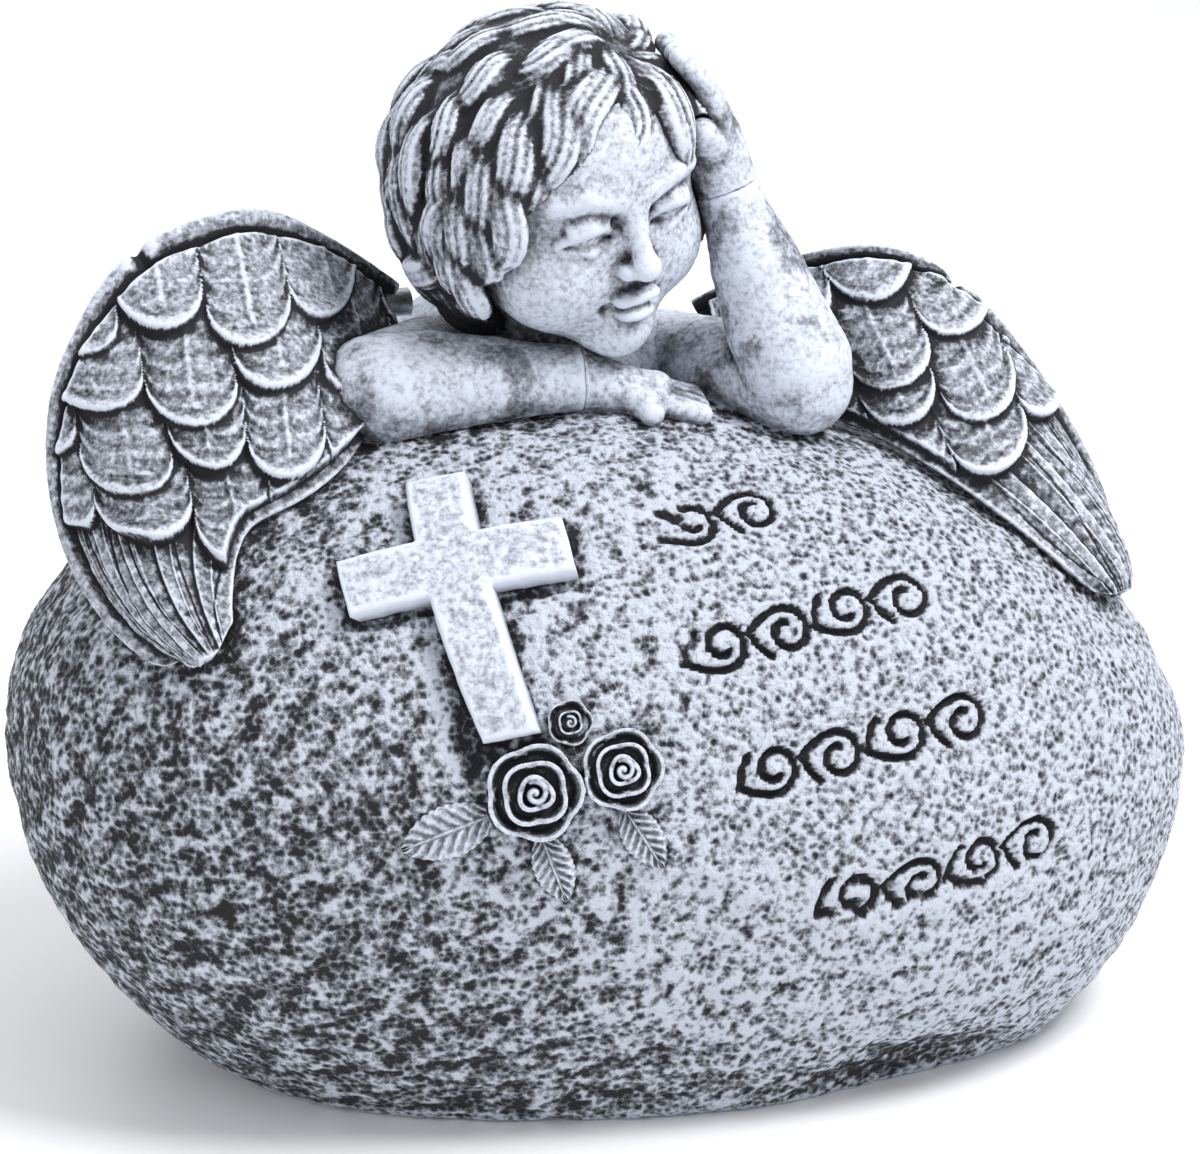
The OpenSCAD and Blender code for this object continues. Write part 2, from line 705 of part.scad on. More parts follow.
module rose_small() {
    seat(small_rose_at, glue) rose(small_rose_r, 3.6);
}

module rosebud() {
    seat(bud_at, glue) rose(bud_r, 2.8);
}

// A pointed leaf on the boulder: from its stem end, along a direction in degrees from +X
module leaf(p, way, reach) {
    n = stone_normal(p);
    u = unit(cross([0, 0, 1], n));
    v = cross(n, u);
    ahead = u * cos(way) + v * sin(way);
    aside = v * cos(way) - u * sin(way);
    rows = 10;
    cols = 4;
    grid = function (top) [for (i = [0:rows]) [for (j = [0:cols])
        let (s = i / rows, t = 2 * j / cols - 1, w = 0.27 * reach * pow(sin(18 + 160 * s), 0.7))
        on_stone(p + ahead * reach * s + aside * w * t,
                 glue + top * (leaf_t * (1 - 0.45 * t * t) + 0.5 * abs(t) * sin(180 * s)))]];
    color(stone_grey) slab(grid(0), grid(1));
}

// Where a leaf's stem end meets the rim of a flower, for a direction in degrees from +X
function rim_point(p, r, way) =
    let (n = stone_normal(p), u = unit(cross([0, 0, 1], n)), v = cross(n, u))
    on_stone(p) + (u * cos(way) + v * sin(way)) * (r + rose_gap);

module leaf_left() {
    leaf(rim_point(rose_at, rose_r, 208), 200, leaf_l);
}

module leaf_lower() {
    leaf(rim_point(rose_at, rose_r, 280), 288, leaf_l * 0.75);
}

module leaf_right() {
    leaf(rim_point(small_rose_at, small_rose_r + glue, 275), 300, leaf_l * 0.75);
}

stone_shell();
base_plug();
torso();
neck_pin();
head();
hair_cap();
right_arm();
right_hand();
left_arm();
left_hand();
right_wing();
right_wing_coverts();
right_wing_pin();
left_wing();
left_wing_coverts();
left_wing_pin();
cross_body();  // cross
cross_pins();
rose_large();
rose_small();
rosebud();
leaf_left();
leaf_lower();
leaf_right();
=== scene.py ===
import math

import bpy
import numpy as np
import openvdb
from mathutils import Matrix, Vector, noise
from mathutils.bvhtree import BVHTree


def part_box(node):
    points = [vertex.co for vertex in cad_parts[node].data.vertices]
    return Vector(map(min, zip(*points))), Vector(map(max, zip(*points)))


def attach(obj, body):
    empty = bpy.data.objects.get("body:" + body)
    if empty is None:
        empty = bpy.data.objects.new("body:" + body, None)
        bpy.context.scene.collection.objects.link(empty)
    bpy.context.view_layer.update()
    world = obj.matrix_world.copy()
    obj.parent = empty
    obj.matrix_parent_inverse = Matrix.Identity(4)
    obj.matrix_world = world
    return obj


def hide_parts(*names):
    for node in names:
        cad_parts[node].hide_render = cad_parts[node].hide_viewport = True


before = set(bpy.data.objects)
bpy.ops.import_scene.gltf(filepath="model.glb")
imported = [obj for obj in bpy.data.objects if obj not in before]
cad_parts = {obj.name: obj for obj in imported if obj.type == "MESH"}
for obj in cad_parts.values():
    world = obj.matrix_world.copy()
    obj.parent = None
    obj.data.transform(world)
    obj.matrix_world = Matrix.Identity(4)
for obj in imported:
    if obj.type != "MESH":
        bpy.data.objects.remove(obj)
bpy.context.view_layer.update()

bl_info = {
    "name": "Cherub on a memorial stone",
    "version": (1, 0, 0),
    "blender": (4, 5, 0),
    "location": "3D View > Sidebar > Cherub",
    "description": "Models the carved and pitted resin surfaces of a cherub on a memorial stone",
    "category": "Object",
}

# ---- The figurine's sizes, in millimetres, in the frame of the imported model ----

MM = 0.001


def node_box(node):
    """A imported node's lowest and highest corners in millimetres."""
    return [np.array(corner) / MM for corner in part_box(node)]


STONE_LOW, STONE_HIGH = node_box("stone_shell")
CROWN_SHIFT = 2.5               # the crown lies this far to the right of the middle
STONE_LEAN = math.radians(7)    # lean of the boulder towards its right side
STONE_SQUARE = 2.4              # squareness of its plan, where 2 is an ellipse
HALF_WIDTH = 85.5               # half the boulder's width before it leans
STONE_FRONT, STONE_BACK = -STONE_LOW[1], STONE_HIGH[1]
STONE_TOP = 94.0                # height of the crown before the boulder leans
BELLY = 42.0                    # height of the widest level
BELLY_DROP = 62.0               # depth at which the round would close below it
STONE_MID = np.array([CROWN_SHIFT, 0.0, BELLY])
GLUE = 0.2                      # thickness of the glue between two castings

HEAD_AT = np.array([-6.0, 4.0, STONE_TOP + 32])
HEAD_TURN = (10, -8, 23)        # nod, tilt and turn, in degrees
ELBOW, WRIST, FINGER = 7.6, 4.4, 1.8
WING_THICK, WING_RIM, WING_ARCH = 3.4, 2.6, 4.0
CROSS_LENGTH, CROSS_WIDTH, CROSS_BAR, CROSS_THICK = 40.0, 31.0, 8.4, 3.6
CROSS_TOP = 14.5                # from the bar's middle to the upright's top
CROSS_LEAN = math.radians(10)
CROSS_AT = np.array([-25.8, -32.7, 81.4])
ROSE, SMALL_ROSE, BUD = 6.4, 5.4, 3.0
LEAF = 13.0
ROSE_GAP = 0.3                  # between a leaf or a rose and its neighbour
GOLDEN = math.pi * (3 - math.sqrt(5))  # turn from one evenly spread direction to the next


# ---- Vectors, curves and the boulder's form ----


def unit(v):
    """v at length 1, along its last axis."""
    v = np.asarray(v, float)
    return v / np.maximum(np.linalg.norm(v, axis=-1, keepdims=True), 1e-12)


def smooth_step(low, high, x):
    """0 below low, 1 above high, and a soft step between them."""
    t = np.clip((x - low) / (high - low), 0, 1)
    return t * t * (3 - 2 * t)


def curve(points, s):
    """Points of a smooth curve through control points, at shares s of its way."""
    p = np.asarray(points, float)
    n = len(p) - 1
    s = np.asarray(s, float)
    k = np.clip(np.floor(s * n).astype(int), 0, n - 1)
    t = (s * n - k)[..., None]
    a, b, c, d = p[np.maximum(k - 1, 0)], p[k], p[k + 1], p[np.minimum(k + 2, n)]
    return (
        2 * b
        + (c - a) * t
        + (2 * a - 5 * b + 4 * c - d) * t**2
        + (3 * b - a - 3 * c + d) * t**3
    ) / 2


def stone_radius(d):
    """Distance from the boulder's middle to its surface along unit directions."""
    half = HALF_WIDTH + np.where(d[..., 0] < 0, CROWN_SHIFT, -CROWN_SHIFT)
    depth = np.where(d[..., 1] < 0, STONE_FRONT, STONE_BACK)
    rise = np.where(d[..., 2] < 0, BELLY_DROP, STONE_TOP - BELLY)
    plan = np.abs(d[..., 0] / half) ** STONE_SQUARE + np.abs(d[..., 1] / depth) ** STONE_SQUARE
    return 1 / np.sqrt(plan ** (2 / STONE_SQUARE) + (d[..., 2] / rise) ** 2)


def leaned(q):
    """From the boulder's leaning axes to the frame."""
    q = np.asarray(q, float)
    c, s = math.cos(STONE_LEAN), math.sin(STONE_LEAN)
    x, y, z = q[..., 0], q[..., 1], q[..., 2]
    return STONE_MID + np.stack([x * c + z * s, y, z * c - x * s], -1)


def upright(p):
    """From the frame to the boulder's leaning axes."""
    q = np.asarray(p, float) - STONE_MID
    c, s = math.cos(STONE_LEAN), math.sin(STONE_LEAN)
    x, y, z = q[..., 0], q[..., 1], q[..., 2]
    return np.stack([x * c - z * s, y, z * c + x * s], -1)


def on_stone(p, height=0.0):
    """The point at a height over the boulder, in the direction of p."""
    d = unit(upright(p))
    return leaned(d * (stone_radius(d) + height)[..., None])


def over_stone(p):
    """Height of p over the boulder, along the line from its middle."""
    q = upright(p)
    return np.linalg.norm(q, axis=-1) - stone_radius(unit(q))


def off_stone(p, height):
    """p, raised to at least a height over the boulder."""
    return np.where((over_stone(p) < height)[..., None], on_stone(p, height), p)


def turned(u, v, angle):
    """Two square directions, turned in their plane by an angle."""
    c, s = math.cos(angle), math.sin(angle)
    return u * c + v * s, v * c - u * s


def from_segment(p, a, b):
    """The share of the way from a to b that is nearest to p, and the vector from there to p."""
    w = b - a
    t = np.clip((p - a) @ w / max(w @ w, 1e-9), 0, 1)
    return t, p - a - t[..., None] * w


def face_axes(p):
    """On the boulder at p: the direction to the right, up its face, and outwards."""
    here = on_stone(p)
    away = unit(here - STONE_MID)
    right = unit(np.cross([0, 0, 1.0], away))
    rise = np.cross(away, right)
    n = unit(np.cross(on_stone(here + right) - here, on_stone(here + rise) - here))
    u = unit(np.cross([0, 0, 1.0], n))
    return u, np.cross(n, u), n


# ---- Modelling in clay: distances on a grid, turned into a mesh ----


class Clay:
    """A block of distances to a form's surface, in millimetres."""

    FAR = 30.0

    def __init__(self, low, high, step):
        self.low = np.array(low, float)
        self.step = step
        self.count = np.ceil((np.array(high, float) - self.low) / step).astype(int) + 1
        self.d = np.full(self.count, self.FAR, np.float32)

    def window(self, points, reach):
        """The part of the block within reach of points, and its grid points."""
        p = np.atleast_2d(points)
        a = np.floor((p.min(0) - reach - self.low) / self.step).astype(int)
        b = np.ceil((p.max(0) + reach - self.low) / self.step).astype(int) + 1
        a, b = np.clip(a, 0, self.count), np.clip(b, 0, self.count)
        part = tuple(slice(i, j) for i, j in zip(a, b))
        axes = [self.low[k] + self.step * np.arange(a[k], b[k]) for k in range(3)]
        return part, np.stack(np.meshgrid(*axes, indexing="ij"), -1)

    def everywhere(self):
        """All the block's grid points."""
        return self.window([self.low, self.low + self.step * self.count], 0)

    def join(self, part, other, soft):
        """Adds a form, with a soft fillet where it meets what is there."""
        mine = self.d[part]
        h = np.clip(0.5 + 0.5 * (other - mine) / soft, 0, 1)
        self.d[part] = other + (mine - other) * h - soft * h * (1 - h)

    def cut(self, part, other, soft):
        """Cuts a form away, with soft edges."""
        mine = self.d[part]
        h = np.clip(0.5 - 0.5 * (-other - mine) / soft, 0, 1)
        self.d[part] = -other + (mine + other) * h + soft * h * (1 - h)

    def ball(self, at, size, soft=1.0, cut=False, turn=None):
        """Joins or cuts an ellipsoid; size is its radius or three radii."""
        r = np.broadcast_to(np.asarray(size, float), 3)
        part, p = self.window([at], r.max() + 2 * soft + 1)
        q = p - np.asarray(at, float)
        if turn is not None:
            q = q @ turn
        k0 = np.linalg.norm(q / r, axis=-1)
        k1 = np.linalg.norm(q / (r * r), axis=-1)
        d = np.where(k1 > 1e-9, k0 * (k0 - 1) / np.maximum(k1, 1e-9), -r.min())
        (self.cut if cut else self.join)(part, d, soft)

    def rod(self, points, radii, soft=1.0, cut=False):
        """Joins or cuts a round rod through points, with a radius at each."""
        pts = np.asarray(points, float)
        rad = np.broadcast_to(np.asarray(radii, float), len(pts))
        part, p = self.window(pts, rad.max() + 2 * soft + 1)
        best = np.full(p.shape[:-1], 1e9)
        for a, b, ra, rb in zip(pts[:-1], pts[1:], rad[:-1], rad[1:]):
            t, away = from_segment(p, a, b)
            best = np.minimum(best, np.linalg.norm(away, axis=-1) - ra - (rb - ra) * t)
        (self.cut if cut else self.join)(part, best, soft)

    def trim(self, outside):
        """Cuts off the places where a function of them is above zero."""
        part, p = self.everywhere()
        self.d[part] = np.maximum(self.d[part], outside(p))

    def mesh(self):
        """Corner points in millimetres, and faces."""
        grid = openvdb.FloatGrid(self.FAR)
        grid.copyFromArray(self.d)
        points, tris, quads = grid.convertToPolygons(isovalue=0.0, adaptivity=0.0)
        faces = [list(f) for f in quads[:, ::-1]] + [list(f) for f in tris[:, ::-1]]
        return self.low + points.astype(float) * self.step, faces


def grid_solid(top, bottom):
    """A closed solid between two grids of points of the same shape."""
    m, n = top.shape[:2]
    at = np.arange(m * n).reshape(m, n)
    low = at + m * n

    def quads(a, b, c, d):
        return np.stack([a.ravel(), b.ravel(), c.ravel(), d.ravel()], -1)

    edge = [at[:, 0], at[-1, :], at[::-1, -1], at[0, ::-1]]
    loop = np.concatenate([e[:-1] for e in edge])
    after = np.roll(loop, -1)
    faces = np.concatenate(
        [
            quads(at[:-1, :-1], at[1:, :-1], at[1:, 1:], at[:-1, 1:]),
            quads(low[:-1, :-1], low[:-1, 1:], low[1:, 1:], low[1:, :-1]),
            quads(after, loop, loop + m * n, after + m * n),
        ]
    )
    points = np.concatenate([top.reshape(-1, 3), bottom.reshape(-1, 3)])
    return points, faces


def signed_volume(points, faces):
    """Volume inside the faces, negative if they face inwards."""
    total = 0.0
    for size in (3, 4):
        f = np.array([x for x in faces if len(x) == size], int).reshape(-1, size)
        for k in range(1, size - 1):
            a, b, c = points[f[:, 0]], points[f[:, k]], points[f[:, k + 1]]
            total += np.einsum("ij,ij->i", a, np.cross(b, c)).sum() / 6
    return total


# ---- Meshes, their relief and their hollows ----


def neighbour_mean(points, edges):
    """The mean of each point's neighbours."""
    n = len(points)
    a, b = edges[:, 0], edges[:, 1]
    count = np.bincount(a, minlength=n) + np.bincount(b, minlength=n)
    out = np.empty_like(points)
    for k in range(3):
        out[:, k] = np.bincount(a, points[b, k], n) + np.bincount(b, points[a, k], n)
    return out / np.maximum(count, 1)[:, None]


def mesh_arrays(mesh):
    """A mesh's points in millimetres, its normals and its edges."""
    points = np.empty(len(mesh.vertices) * 3)
    mesh.vertices.foreach_get("co", points)
    normals = np.empty(len(mesh.vertices) * 3)
    mesh.vertices.foreach_get("normal", normals)
    edges = np.empty(len(mesh.edges) * 2, np.int32)
    mesh.edges.foreach_get("vertices", edges)
    return points.reshape(-1, 3) / MM, normals.reshape(-1, 3), edges.reshape(-1, 2)


def hollows(mesh, reach, near=3):
    """How proud (towards 1) or hollow (towards 0) each point lies, over two distances."""
    points, normals, edges = mesh_arrays(mesh)
    soft = points
    step = np.linalg.norm(points[edges[:, 0]] - points[edges[:, 1]], axis=1).mean()
    rounds = int(min(60, max(6, (reach / step) ** 2)))
    out = np.zeros(len(points))
    for k in range(rounds):
        soft = 0.4 * soft + 0.6 * neighbour_mean(soft, edges)
        if k + 1 in (near, rounds):
            proud = np.einsum("ij,ij->i", points - soft, normals)
            out += np.clip(proud / (0.12 if k + 1 == near else 0.5), -1, 1) / 2
    return 0.5 + 0.5 * np.clip(out, -1, 1)


def set_attribute(mesh, name, values):
    """Stores a number at each point of the mesh, for its material."""
    layer = mesh.attributes.new(name, "FLOAT", "POINT")
    layer.data.foreach_set("value", np.asarray(values, np.float32))


def grain(points, size, seed, octaves=3):
    """Soft random relief between about -1 and 1, with a feature size in millimetres."""
    shift = Vector((seed * 17.3, seed * -9.1, seed * 5.7))
    return np.array(
        [noise.fractal(Vector(p) / size + shift, 0.9, 2.1, octaves) for p in points]
    )


def new_piece(name, points, faces, replaces, slot, relief=None, reach=2.5, shade=None):
    """Makes a piece from points in millimetres and puts it on the frame.

    Its relief is the strength of a grain, then the grain's size, seed and octaves.
    """
    points = np.asarray(points, float)
    if signed_volume(points, faces) < 0:
        faces = [list(f)[::-1] for f in faces]
    mesh = bpy.data.meshes.new(name)
    mesh.from_pydata((points * MM).tolist(), [], [[int(i) for i in f] for f in faces])
    mesh.validate()
    if relief is not None:
        points, normals, _ = mesh_arrays(mesh)
        strength, *kind = relief
        moved = points + normals * (strength * grain(points, *kind))[:, None]
        mesh.vertices.foreach_set("co", (moved * MM).ravel())
        mesh.update()
    proud = hollows(mesh, reach)
    # The shade added here gives random dark patches on the skin, and on the boulder its painted
    # shade together with the wash kept in its carving.
    if shade is not None:
        points, _, _ = mesh_arrays(mesh)
        proud = proud + shade(points)
    set_attribute(mesh, "proud", proud)
    mesh.polygons.foreach_set("use_smooth", [True] * len(mesh.polygons))
    piece = bpy.data.objects.new(name, mesh)
    bpy.context.scene.collection.objects.link(piece)
    mesh.materials.append(bpy.data.materials[slot + FINISH])
    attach(piece, "root")
    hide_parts(*replaces)
    return piece


def clay_piece(name, clay, node, slot, relief, reach, shade=None, place=None):
    """Makes a piece from clay, moved by a function of its points if one is given."""
    points, faces = clay.mesh()
    if place is not None:
        points = place(points)
    new_piece(name, points, faces, [node], slot, relief, reach, shade)


def patches(points):
    """Patches where the dark wash shows more through the pale coat."""
    return -0.26 * smooth_step(0.0, 0.6, grain(points, 8.0, 21, 4))


# How much painted shade (ambient occlusion) takes from the coat where pieces shelter a place, by
# finish
OCCLUSION_SHADE = {"skin_resin_finish": 0.3, "stone_resin_finish": 0.4, "flower_resin_finish": 0.35,
           "cross_resin_finish": 0.3}


def paint_occlusion_shade():
    """Paints shade: ray-cast ambient occlusion darkens the coat where the pieces shelter each
    other, and also stands for the dark wash gathered there.
    """
    pieces = [o for o in bpy.data.objects if o.type == "MESH" and "proud" in o.data.attributes]
    points, faces, count = [], [], 0
    for piece in pieces:
        co, _, _ = mesh_arrays(piece.data)
        points.extend(co.tolist())
        faces.extend([[v + count for v in f.vertices] for f in piece.data.polygons])
        count += len(co)
    tree = BVHTree.FromPolygons(points, faces)
    reach, clear, gain = 9.0, 0.12, 1.7
    rays = 9
    fan = []
    for k in range(rays):
        z = math.sqrt(1 - (k + 0.5) / rays)
        r = math.sqrt(1 - z * z)
        fan.append((r * math.cos(GOLDEN * k), r * math.sin(GOLDEN * k), z))
    for piece in pieces:
        co, normals, _ = mesh_arrays(piece.data)
        level = np.empty(len(co), np.float32)
        layer = piece.data.attributes["proud"].data
        layer.foreach_get("value", level)
        near = np.ones(len(co), bool)
        share = OCCLUSION_SHADE.get(piece.data.materials[0].name, 0.75)
        if piece.name == "boulder":
            near = (co[:, 2] > 34) & (co[:, 1] < 48) & (upright(co)[:, 2] > -6)
        for i in np.flatnonzero(near):
            n = Vector(normals[i])
            side = n.orthogonal().normalized()
            across = n.cross(side)
            start = Vector(co[i]) + n * clear
            hidden = 0.0
            for x, y, z in fan:
                hit = tree.ray_cast(start, side * x + across * y + n * z, reach)
                if hit[3] is not None:
                    hidden += 1 - hit[3] / reach
            # Painted shade: the more of a point's rays are blocked nearby, the darker its coat.
            level[i] -= share * min(1.0, gain * hidden / rays)
        layer.foreach_set("value", level)


# ---- Materials ----

FINISH = "_finish"  # ending of a finish's name, after the name of its slot


def socket(group, name, kind, out=False, default=None):
    """Adds a named input or output to a shader group."""
    made = group.interface.new_socket(
        name=name, in_out="OUTPUT" if out else "INPUT", socket_type=kind
    )
    if default is not None:
        made.default_value = default
    return made


def link(tree, a, b):
    """Joins an output socket to an input socket."""
    tree.links.new(a, b)


def math_node(tree, operation, a, b, clamp=False):
    """A Math node; a and b are sockets or numbers."""
    node = tree.nodes.new("ShaderNodeMath")
    node.operation = operation
    node.use_clamp = clamp
    for place, value in zip(node.inputs, (a, b)):
        if isinstance(value, bpy.types.NodeSocket):
            link(tree, value, place)
        else:
            place.default_value = value
    return node.outputs[0]


def ramp_node(tree, value, low, high):
    """A soft step of a value, from 0 at low to 1 at high; both may be sockets."""
    node = tree.nodes.new("ShaderNodeMapRange")
    node.interpolation_type = "SMOOTHSTEP"
    link(tree, value, node.inputs["Value"])
    for name, limit in (("From Min", low), ("From Max", high)):
        if isinstance(limit, bpy.types.NodeSocket):
            link(tree, limit, node.inputs[name])
        else:
            node.inputs[name].default_value = limit
    return node.outputs["Result"]


def mix_node(tree, factor, a, b):
    """A colour between two colour sockets."""
    node = tree.nodes.new("ShaderNodeMix")
    node.data_type = "RGBA"
    for place, value in zip((node.inputs[0], node.inputs[6], node.inputs[7]), (factor, a, b)):
        link(tree, value, place)
    return node.outputs[2]


def hammered_group():
    """Height of a hammered, pitted surface: 0 in the pits and 1 on the ridges."""
    tree = bpy.data.node_groups.new("Hammered grain", "ShaderNodeTree")
    for name, value in (("Pit size", 1.5), ("Raggedness", 0.5), ("Pit share", 0.9)):
        socket(tree, name, "NodeSocketFloat", default=value)
    socket(tree, "Height", "NodeSocketFloat", out=True)
    start = tree.nodes.new("NodeGroupInput")
    end = tree.nodes.new("NodeGroupOutput")
    place = tree.nodes.new("ShaderNodeTexCoord").outputs["Object"]
    scale = math_node(tree, "DIVIDE", 1 / MM, start.outputs["Pit size"])

    wander = tree.nodes.new("ShaderNodeTexNoise")
    wander.inputs["Detail"].default_value = 2.0
    link(tree, place, wander.inputs["Vector"])
    link(tree, scale, wander.inputs["Scale"])
    shift = tree.nodes.new("ShaderNodeVectorMath")
    shift.operation = "MULTIPLY_ADD"
    link(tree, wander.outputs["Color"], shift.inputs[0])
    reach = math_node(tree, "DIVIDE", start.outputs["Raggedness"], scale)
    link(tree, reach, shift.inputs[1])
    link(tree, place, shift.inputs[2])

    pits = tree.nodes.new("ShaderNodeTexVoronoi")
    pits.feature = "SMOOTH_F1"
    pits.inputs["Smoothness"].default_value = 0.25
    link(tree, shift.outputs[0], pits.inputs["Vector"])
    link(tree, scale, pits.inputs["Scale"])
    fine = tree.nodes.new("ShaderNodeTexNoise")
    fine.inputs["Detail"].default_value = 4.0
    fine.inputs["Roughness"].default_value = 0.65
    link(tree, shift.outputs[0], fine.inputs["Vector"])
    link(tree, math_node(tree, "MULTIPLY", scale, 1.3), fine.inputs["Scale"])
    # The cells' distance is near 0.5 on the whole, so this keeps the middle height.
    cells = math_node(tree, "SUBTRACT", pits.outputs["Distance"], 0.5)
    cells = math_node(tree, "MULTIPLY", cells, start.outputs["Pit share"])
    rough = math_node(tree, "MULTIPLY", math_node(tree, "SUBTRACT", fine.outputs["Fac"], 0.5), 1.3)
    total = math_node(tree, "ADD", math_node(tree, "ADD", cells, rough), 0.5, clamp=True)
    link(tree, total, end.inputs["Height"])
    return tree


def patina_group():
    """A dark wash that stays in the hollows and a pale dry-brushed coat on what stands proud."""
    tree = bpy.data.node_groups.new("Dry-brushed patina", "ShaderNodeTree")
    for name, value in (
        ("Height", 0.5), ("Proud", 0.5), ("Grain share", 1.0), ("Relief share", 1.0), ("Wash", 0.5),
    ):
        socket(tree, name, "NodeSocketFloat", default=value)
    for name in ("Dark", "Middle", "Pale"):
        socket(tree, name, "NodeSocketColor", default=(0.5, 0.5, 0.5, 1))
    socket(tree, "Color", "NodeSocketColor", out=True)
    socket(tree, "Roughness", "NodeSocketFloat", out=True)
    start = tree.nodes.new("NodeGroupInput")
    end = tree.nodes.new("NodeGroupOutput")
    given = start.outputs

    grained = math_node(
        tree, "MULTIPLY", math_node(tree, "SUBTRACT", given["Height"], 0.5), given["Grain share"]
    )
    carved = math_node(
        tree, "MULTIPLY", math_node(tree, "SUBTRACT", given["Proud"], 0.5), given["Relief share"]
    )
    level = math_node(tree, "ADD", math_node(tree, "ADD", grained, carved), 0.5)
    level = math_node(tree, "SUBTRACT", level, math_node(tree, "MULTIPLY", given["Wash"], 0.3))
    lower = mix_node(tree, ramp_node(tree, level, -0.08, 0.42), given["Dark"], given["Middle"])
    pale = ramp_node(tree, level, 0.24, 0.84)
    link(tree, mix_node(tree, pale, lower, given["Pale"]), end.inputs["Color"])
    rough = math_node(tree, "SUBTRACT", 0.78, math_node(tree, "MULTIPLY", pale, 0.22))
    link(tree, rough, end.inputs["Roughness"])
    return tree


def group_node(tree, name, values):
    """A node of one of the shader groups, with some of its inputs set."""
    node = tree.nodes.new("ShaderNodeGroup")
    node.node_tree = bpy.data.node_groups[name]
    for key, value in values.items():
        node.inputs[key].default_value = value
    return node


def new_finish(slot, colours, bump, grained, coated):
    """A finish of three patina colours over a hammered grain, and its shader and patina."""
    mat = bpy.data.materials.new(slot + FINISH)
    mat.use_nodes = True
    tree = mat.node_tree
    shader = tree.nodes["Principled BSDF"]
    hammered = group_node(tree, "Hammered grain", grained)
    coats = {name: (*c, 1) for name, c in zip(("Dark", "Middle", "Pale"), colours)}
    patina = group_node(tree, "Dry-brushed patina", {**coated, **coats})
    link(tree, hammered.outputs["Height"], patina.inputs["Height"])
    link(tree, patina.outputs["Color"], shader.inputs["Base Color"])
    raised = tree.nodes.new("ShaderNodeBump")
    raised.inputs["Distance"].default_value = bump * MM
    link(tree, hammered.outputs["Height"], raised.inputs["Height"])
    link(tree, raised.outputs["Normal"], shader.inputs["Normal"])
    return tree, shader, patina


def resin(slot, colours, pit, pits, grain_share, relief_share, wash, bump):
    """A cast resin finish, whose patina follows what each piece stores as proud."""
    tree, shader, patina = new_finish(
        slot, colours, bump, {"Pit size": pit, "Pit share": pits},
        {"Grain share": grain_share, "Relief share": relief_share, "Wash": wash})
    shader.inputs["Specular IOR Level"].default_value = 0.35
    proud = tree.nodes.new("ShaderNodeAttribute")
    proud.attribute_name = "proud"
    link(tree, proud.outputs["Fac"], patina.inputs["Proud"])
    link(tree, patina.outputs["Roughness"], shader.inputs["Roughness"])


def plain_finish(slot, colour, metallic, rough, size):
    """A finish with faint uneven wear, for the plug and the pins."""
    worn = [[min(1, c * gain) for c in colour] for gain in (0.7, 1.0, 1.25)]
    _, shader, _ = new_finish(slot, worn, 0.03, {"Pit size": size}, {"Relief share": 0.0})
    shader.inputs["Metallic"].default_value = metallic
    shader.inputs["Roughness"].default_value = rough


# ---- Boulder ----


def even_steps(density, count, span):
    """Places in 0..span whose spacing follows a density, ends included."""
    x = np.linspace(0, span, 4000)
    total = np.concatenate([[0], np.cumsum(density((x[1:] + x[:-1]) / 2))])
    return np.interp(np.linspace(0, total[-1], count), total, x)


def ornament_strokes():
    """Engraved ornament: four rows of spiral scrolls and leaves, as (row, stroke)."""
    rows = [((11.5, -27, 85), 2), ((22, -38, 73), 4), ((28, -46, 57.5), 4), ((39, -47.5, 38.5), 4)]
    pitch = 9.6
    strokes = []
    for row, count in rows:
        row = np.array(row, float)
        for k in range(count):
            x = (k - (count - 1) / 2) * pitch
            up = 1 if k % 2 == 0 else -1
            turn = np.linspace(0, 2.1 * math.pi, 26)
            size = 3.4 * (1 - 0.62 * turn / turn[-1])
            scroll = np.stack([x + size * np.sin(turn), up * (0.4 - size * np.cos(turn))], -1)
            tail = np.linspace(-5.6, 0, 8)
            stem = np.stack([x + tail, up * (-3.0 + 2.2 * (tail / 5.6) ** 2)], -1)
            strokes.append((row, np.concatenate([stem, scroll])))
            leaf = np.linspace(0, 1, 6)
            side = np.stack([x - 5.2 + 1.8 * leaf, up * (-0.4 + 3.4 * leaf**0.6)], -1)
            strokes.append((row, side))
    return strokes


def engraving(points):
    """Depth share of the engraved ornament at points on the boulder."""
    best = np.full(len(points), 99.0)
    slope = math.radians(7)
    for at, stroke in ornament_strokes():
        u, v, _ = face_axes(at)
        right, up = turned(u, v, slope)
        rel = points - on_stone(at)
        flat = np.stack([rel @ right, rel @ up], -1)
        near = (np.abs(flat - stroke.mean(0)) < np.ptp(stroke, 0) / 2 + 2).all(1)
        near &= np.linalg.norm(rel, axis=1) < 40
        p = flat[near]
        d = np.full(len(p), 99.0)
        for a, b in zip(stroke[:-1], stroke[1:]):
            d = np.minimum(d, np.linalg.norm(from_segment(p, a, b)[1], axis=1))
        best[near] = np.minimum(best[near], d)
    return 1 - smooth_step(0.2, 0.75, best)


def cross_axes():
    """The cross's own directions: across, up and outwards, and its middle."""
    u, v, n = face_axes(CROSS_AT)
    return *turned(u, v, CROSS_LEAN), n, on_stone(CROSS_AT)


def cross_distance(x, y):
    """Signed distance to the cross's outline in its own plane, negative inside."""
    half = CROSS_BAR / 2
    mid = CROSS_TOP - CROSS_LENGTH / 2

    def box(cx, cy, hx, hy):
        dx, dy = np.abs(x - cx) - hx, np.abs(y - cy) - hy
        out = np.hypot(np.maximum(dx, 0), np.maximum(dy, 0))
        return out + np.minimum(np.maximum(dx, dy), 0)

    return np.minimum(box(0, mid, half, CROSS_LENGTH / 2), box(0, 0, CROSS_WIDTH / 2, half))


